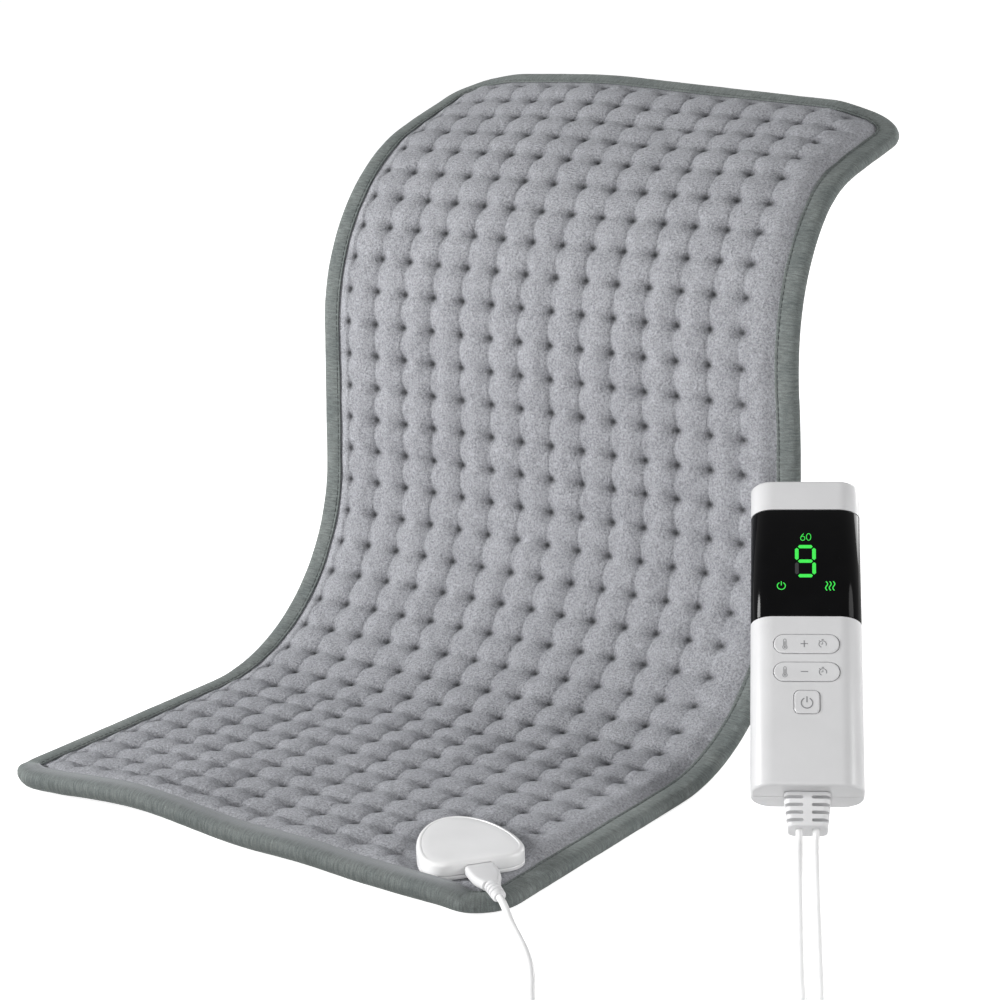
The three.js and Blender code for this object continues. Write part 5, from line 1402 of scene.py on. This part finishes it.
def add_lens():
    eased = ((0.0, 0.35), (0.12, 0.12), (0.35, 0.0))
    edge = [(LENS_BOTTOM + LENS_FIT + y, inset) for y, inset in eased]
    edge += [(LENS_TOP - LENS_FIT - y, inset) for y, inset in eased[::-1]]
    band = loft([body_ring(y, inset, 20) for y, inset in edge])
    inner = loft([body_ring(y, LENS_THICKNESS, 20) for y in (60.0, 160.0)])
    rear = half_box(1, 60, 160)
    lens = add_carved("display_lens_band", band, at_controller, LENS, 30, inner, rear)
    dress(lens, "controller", "black_gloss", "display_lens")


def add_key(node_name, outline, y):
    """A key with a rounded top edge and a slightly dished face, on a body of its own."""
    centre = outline.mean(axis=0)
    walls = (
        (0.0, 11.2), (0.0, 14.1), (0.06, 14.28), (0.2, 14.42), (0.42, KEY_TOP), (0.9, KEY_TOP),
        (2.2, KEY_TOP - KEY_DISH))
    size = np.abs(outline - centre).max(axis=0)
    rings = []
    for inset, z in walls:
        shrink = (size - inset) / size
        rings.append(level((outline - centre) * shrink + np.array([0, y]), z))
    cap = add_closed(f"{node_name}_cap", loft(rings), at_controller, WHITE_PLASTIC, 40)
    dress(cap, node_name, "white_plastic", node_name)


def add_strain_relief():
    """A tapered boot with slots at both sides, front and back, and a hole for each cord."""
    rings = []
    for y, grow in RELIEF_EASING:
        share = (RELIEF_START - y) / (RELIEF_START - RELIEF_END)
        width = RELIEF_TOP_WIDTH - (RELIEF_TOP_WIDTH - RELIEF_END_WIDTH) * share + grow
        rings.append(upright(rounded_rectangle(width, RELIEF_DEPTH + grow, 3.2), y))
    cuts = []
    pitch = -RELIEF_END / (RELIEF_SLOTS + 0.5)
    for k in range(RELIEF_SLOTS):
        y = -pitch * (k + 0.75)
        for side in (-1, 1):
            round_end = arc((side * 2.75, y), SLOT_RADIUS, 90 * side, 180 + 90 * side, 12)
            far = np.array([(side * 14, y - SLOT_RADIUS * side), (side * 14, y + SLOT_RADIUS * side)])
            for low, high in ((3.0, 12.0), (-12.0, -3.0)):
                cuts.append(prism(np.vstack([round_end, far]), low, high))
    for side in (-1, 1):
        centres = [(side * CORD_SIDE, y, CORD_FORWARD) for y in (-19, -15.2)]
        cuts.append(loft([hoop(centre, 1.85, X_AXIS, Z_AXIS, 20) for centre in centres]))
    relief = add_carved("strain_relief_boot", loft(rings), at_controller, WHITE_RUBBER, 35, merged(cuts))
    dress(relief, "controller", "white_rubber", "strain_relief")


# Signs: flat marks on the keys and the display, made between two heights

def stroke(points, width, low, high, closed=False):
    """A flat line of one width through points, as a thin raised strip."""
    p = np.asarray(points, float)
    before = np.roll(p, 1, axis=0) if closed else np.vstack([2 * p[0] - p[1], p[:-1]])
    after = np.roll(p, -1, axis=0) if closed else np.vstack([p[1:], 2 * p[-1] - p[-2]])
    along = after - before
    along /= np.linalg.norm(along, axis=1)[:, None]
    side = np.column_stack([-along[:, 1], along[:, 0]]) * width / 2
    rings = []
    for a, b in zip(p + side, p - side):
        rings.append(np.array([(*a, low), (*b, low), (*b, high), (*a, high)]))
    return loft_round(rings) if closed else loft(rings)


def line_mark(points, width, closed=False):
    return lambda low, high: stroke(points, width, low, high, closed)


def area_mark(outline):
    return lambda low, high: prism(np.asarray(outline, float), low, high)


def arc(centre, radius, start, end, steps=28, stretch=1.0):
    angles = np.radians(np.linspace(start, end, steps))
    x = centre[0] + radius * np.cos(angles)
    return np.column_stack([x, centre[1] + radius * stretch * np.sin(angles)])


def ring_mark(centre, radius, width, steps=36, stretch=1.0):
    return line_mark(arc(centre, radius, 0, 360, steps + 1, stretch)[:-1], width, closed=True)


def power_sign(x, y, radius, width):
    top = ((x, y + radius * 1.28), (x, y + radius * 0.12))
    return [line_mark(arc((x, y), radius, 118, 422, 40), width), line_mark(top, width)]


def thermometer(x, y):
    outline = np.vstack([arc((x, y - 1.9), 1.05, 125, 415, 24), arc((x, y + 1.9), 0.6, 0, 180, 12)])
    return [
        line_mark(outline, 0.26, closed=True),
        line_mark(((x, y + 1.2), (x, y - 1.5)), 0.24),
        ring_mark((x, y - 1.9), 0.28, 0.3, 14),
    ]


def timer(x, y):
    """A dial with its knob, two hands and a side button."""
    return [
        line_mark(arc((x, y), 1.75, -25, 250, 32), 0.36),
        line_mark(((x - 0.5, y + 2.45), (x + 0.5, y + 2.45)), 0.4),
        line_mark(((x, y), (x, y + 1.05)), 0.3),
        line_mark(((x - 0.12, y), (x - 0.85, y)), 0.3),
        line_mark(((x - 1.75, y + 1.55), (x - 1.4, y + 1.9)), 0.34),
    ]


def plus_sign(x, y, half=1.75, w=0.21):
    outline = np.array([
        (w, w), (w, half), (-w, half), (-w, w), (-half, w), (-half, -w), (-w, -w), (-w, -half),
        (w, -half), (w, -w), (half, -w), (half, w),
    ])
    return area_mark(outline + np.array([x, y]))


def minus_sign(x, y, half=1.75, w=0.21):
    return area_mark(((x + half, y - w), (x + half, y + w), (x - half, y + w), (x - half, y - w)))


def add_sign(name, marks, levels, body, material, slot):
    parts = merged([mark(*levels) for mark in marks])
    dress(add_closed(name, parts, at_controller, material, 40), body, slot)


def add_keys():
    rocker = pill(ROCKER_LENGTH, ROCKER_HEIGHT)
    add_key("plus_rocker", rocker, PLUS_ROCKER_Y)
    add_key("minus_rocker", rocker, MINUS_ROCKER_Y)
    square = rounded_rectangle(POWER_KEY_SIZE, POWER_KEY_SIZE, POWER_KEY_ROUNDING, 10)
    add_key("power_key", square, POWER_KEY_Y)
    rockers = (("plus_rocker", PLUS_ROCKER_Y, plus_sign), ("minus_rocker", MINUS_ROCKER_Y, minus_sign))
    for body, y, sign in rockers:
        marks = [*thermometer(THERMOMETER_X, y), sign(PLUS_MINUS_X, y), *timer(TIMER_X, y - 0.2)]
        add_sign(f"{body}_signs", marks, KEY_SIGN_LEVELS, body, SIGN, "white_plastic")
    marks = power_sign(0, POWER_KEY_Y - 0.6, 2.7, 0.5)
    add_sign("power_key_sign", marks, KEY_SIGN_LEVELS, "power_key", SIGN, "white_plastic")


DIGIT_AT = np.array([-0.2, 110.5])
MINUTES_Y = 132.0
ICONS_Y = 104.9
SEGMENTS = {
    "a": ((-3.6, 16.1), (3.6, 16.1)), "b": ((4.2, 15.4), (4.2, 8.7)), "c": ((4.2, 7.4), (4.2, 0.7)),
    "d": ((-3.6, 0.0), (3.6, 0.0)), "e": ((-4.2, 7.4), (-4.2, 0.7)), "f": ((-4.2, 15.4), (-4.2, 8.7)),
    "g": ((-3.6, 8.05), (3.6, 8.05)),
}


def segment(name):
    a, b = (np.array(p, float) for p in SEGMENTS[name])
    along = (b - a) / np.linalg.norm(b - a)
    side = np.array([-along[1], along[0]]) * 0.9
    tip = along * 0.75
    outline = np.array([a, a + tip + side, b - tip + side, b, b - tip - side, a + tip - side])
    return area_mark(outline + DIGIT_AT)


def digit_six(x, y):
    tail = ((x + 0.5, y + 1.85), (x - 0.25, y + 1.05), (x - 0.8, y + 0.2), (x - 1.05, y - 0.75))
    return [ring_mark((x, y - 0.75), 1.05, 0.34, 28, 1.12), line_mark(tail, 0.34)]


def heat_waves(x, y):
    t = np.linspace(-1, 1, 18)
    across = 0.5 * np.sin(t * math.pi * 1.15)
    return [line_mark(np.column_stack([x + 1.75 * k + across, y + 2.5 * t]), 0.5) for k in (-1, 0, 1)]


def add_display():
    minutes = [*digit_six(-1.45, MINUTES_Y), ring_mark((1.45, MINUTES_Y), 1.1, 0.34, 30, 1.7)]
    icons = [*heat_waves(11.7, ICONS_Y), *power_sign(-12.0, ICONS_Y, 1.95, 0.45)]
    for name, marks, material in (
        ("display_digit", [segment(part) for part in "abcdfg"], GREEN),
        ("display_minutes", minutes, GREEN),
        ("display_icons", icons, GREEN),
        ("display_unlit_segment", [segment("e")], UNLIT),
    ):
        add_sign(name, marks, DISPLAY_LEVELS, "controller", material, "black_gloss")


add_shell("controller_front_shell", 1, "front_shell")
add_shell("controller_rear_shell", -1, "rear_shell")
add_lens()
add_keys()
add_display()
add_strain_relief()


# Mains plug and tie

# Sections along the plug, as place, width, height and rounding
MAINS_SECTIONS = (
    (22.3, 12.5, 9.0, 2.5), (22.6, 14.0, 10.4, 3.0), (23.6, 15.6, 11.4, 3.2), (26.5, 19.4, 12.0, 3.4),
    (30.5, 22.4, 12.0, 3.4), (36.0, 24.0, 12.0, 3.2), (50.6, 24.0, 12.0, 3.0), (51.8, 23.6, 11.7, 2.8),
    (52.3, 22.4, 10.6, 2.4),
)
BLADE_OUTLINE = np.array([(46.6, -3.2), (46.6, 3.2), (66.6, 3.2), (69.4, 2.2), (69.4, -2.2), (66.6, -3.2)])
TIE_SECTION = np.array([
    (-0.6, -3.2), (-0.6, 3.2), (-0.4, 3.5), (0.4, 3.5), (0.6, 3.2), (0.6, -3.2), (0.4, -3.5), (-0.4, -3.5),
])


def add_blade(number, x):
    along, across = BLADE_OUTLINE.T
    rings = []
    for side in (x - BLADE_HALF_THICKNESS, x + BLADE_HALF_THICKNESS):
        rings.append(np.column_stack([np.full(len(along), side), along, across + MAINS_AXIS_HEIGHT]))
    centres = [(x + dx, BLADE_HOLE_Y, MAINS_AXIS_HEIGHT) for dx in (-2, 2)]
    hole = loft([hoop(centre, BLADE_HOLE_RADIUS, Y_AXIS, Z_AXIS, 20) for centre in centres])
    blade = add_carved(f"mains_blade_{number}", loft(rings), at_mains_plug, BRASS, 40, hole)
    return dress(blade, "pad", "brass", f"mains_plug_blade_{number}")


def add_mains_plug():
    rings = []
    for y, width, height, radius in MAINS_SECTIONS:
        rings.append(upright(rounded_rectangle(width, height, radius), y, MAINS_AXIS_HEIGHT))
    body = add_closed("mains_plug_grip", loft(rings), at_mains_plug, WHITE_RUBBER, 40)
    dress(body, "pad", "white_rubber", "mains_plug_body")
    rib = ((-0.15, 0.0), (0.0, 0.3), (0.0, 3.3), (-0.2, 3.7))
    groove = ((-0.7, 3.9), (-0.7, 5.3))
    outline = [
        (1.8, 0.1), (2.6, 0.1), *ribs(4, (2.9, 0.3), (0.25, 5.5), rib, groove), (3.2, 21.9), (1.8, 22.0)]
    boot = add_closed("mains_plug_ribs", lathe(outline, MAINS_AXIS_HEIGHT), at_mains_plug, WHITE_RUBBER, 40)
    dress(boot, "pad", "white_rubber", "mains_plug_boot")
    return body, boot, add_blade(1, -BLADE_X), add_blade(2, BLADE_X)


def add_tie():
    """A soft strap round all the turns at one place."""
    low, high = COIL_LOW - TIE_ROOM, COIL_TOP + TIE_ROOM
    size = (TIE_OUTER - TIE_INNER + TIE_THICKNESS, high - low + TIE_THICKNESS)
    loop = rounded_rectangle(*size, 2.4, 6)
    centre = np.array([(TIE_INNER + TIE_OUTER) / 2, (low + high) / 2])
    out = loop / np.linalg.norm(loop, axis=1)[:, None]
    thick, wide = TIE_SECTION.T
    rings = []
    for (x, z), (nx, nz) in zip(loop + centre, out):
        rings.append(np.column_stack([x + thick * nx, wide, z + thick * nz]))
    tie = add_closed("coil_tie_strap", loft_round(rings), at_coil, BLACK_PLASTIC, 40)
    return dress(tie, "pad", "black_plastic", "coil_tie")


MAINS_PIECES = [*add_mains_plug(), add_tie()]
cord_exit(1)


# CAD nodes that stay keep their shape and take a material by the start of their name

NODE_MATERIALS = (
    ("thermal_cutout", STEEL), ("housing_screw", STEEL), ("circuit_board", BOARD),
    ("socket_pin", BRASS), ("plug_contact", BRASS),
)
for name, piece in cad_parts.items():
    chosen = [material for start, material in NODE_MATERIALS if name.startswith(start)]
    piece.data.materials.clear()
    piece.data.materials.append(chosen[0] if chosen else BLACK_PLASTIC)


# Floor and light, in metres

FLOOR_HALF = 6
FLOOR_Z = -0.0004
LAMPS = (
    ("key", (-1.72, -1.32, 0.76), (0.02, 0.08, 0.13), 0.7, 61),
    ("front", (1.0, -1.75, 1.1), (0.05, 0.0, 0.1), 1.2, 11),
    ("rim", (2.05, 0.55, 0.95), (0.1, 0.0, 0.1), 0.9, 17),
    ("back", (0.3, 2.3, 0.4), (0.05, 0.2, 0.15), 1.2, 22),
)


def add_floor():
    """A pale floor that the camera sees as white, with the object's shadow on it."""
    h = FLOOR_HALF
    mesh = bpy.data.meshes.new("floor")
    mesh.from_pydata([(-h, -h, 0), (h, -h, 0), (h, h, 0), (-h, h, 0)], [], [(0, 1, 2, 3)])
    floor = bpy.data.objects.new("floor", mesh)
    scene.collection.objects.link(floor)
    floor.location.z = FLOOR_Z
    material, tree, shader = new_material("floor_pale")
    set_inputs(shader, {"Base Color": (0.8, 0.8, 0.8, 1), "Roughness": 0.9, "Specular IOR Level": 0.1})
    glow = node(tree, "ShaderNodeEmission", Strength=0.84)
    lit = node(tree, "ShaderNodeAddShader")
    tree.links.new(shader.outputs[0], lit.inputs[0])
    tree.links.new(glow.outputs[0], lit.inputs[1])
    choose = node(tree, "ShaderNodeMixShader")
    tree.links.new(seen_rays(tree), choose.inputs["Fac"])
    tree.links.new(shader.outputs[0], choose.inputs[1])
    tree.links.new(lit.outputs[0], choose.inputs[2])
    tree.links.new(choose.outputs[0], tree.nodes["Material Output"].inputs["Surface"])
    mesh.materials.append(material)


def add_light(name, location, target, size, power):
    lamp = bpy.data.lights.new(name, "AREA")
    lamp.shape = "DISK"
    lamp.size = size
    lamp.energy = power
    holder = bpy.data.objects.new(name, lamp)
    scene.collection.objects.link(holder)
    holder.location = location
    holder.rotation_mode = "QUATERNION"
    holder.rotation_quaternion = (Vector(target) - Vector(location)).to_track_quat("-Z", "Y")


def add_world():
    """White to the camera, and a weak even light on everything else."""
    world = bpy.data.worlds.new("studio")
    world.use_nodes = True
    tree = world.node_tree
    background = tree.nodes["Background"]
    background.inputs["Color"].default_value = (1, 1, 1, 1)
    tree.links.new(span(tree, seen_rays(tree), 0.2, 1.0), background.inputs["Strength"])
    scene.world = world


add_floor()
for lamp_row in LAMPS:
    add_light(*lamp_row)
add_world()
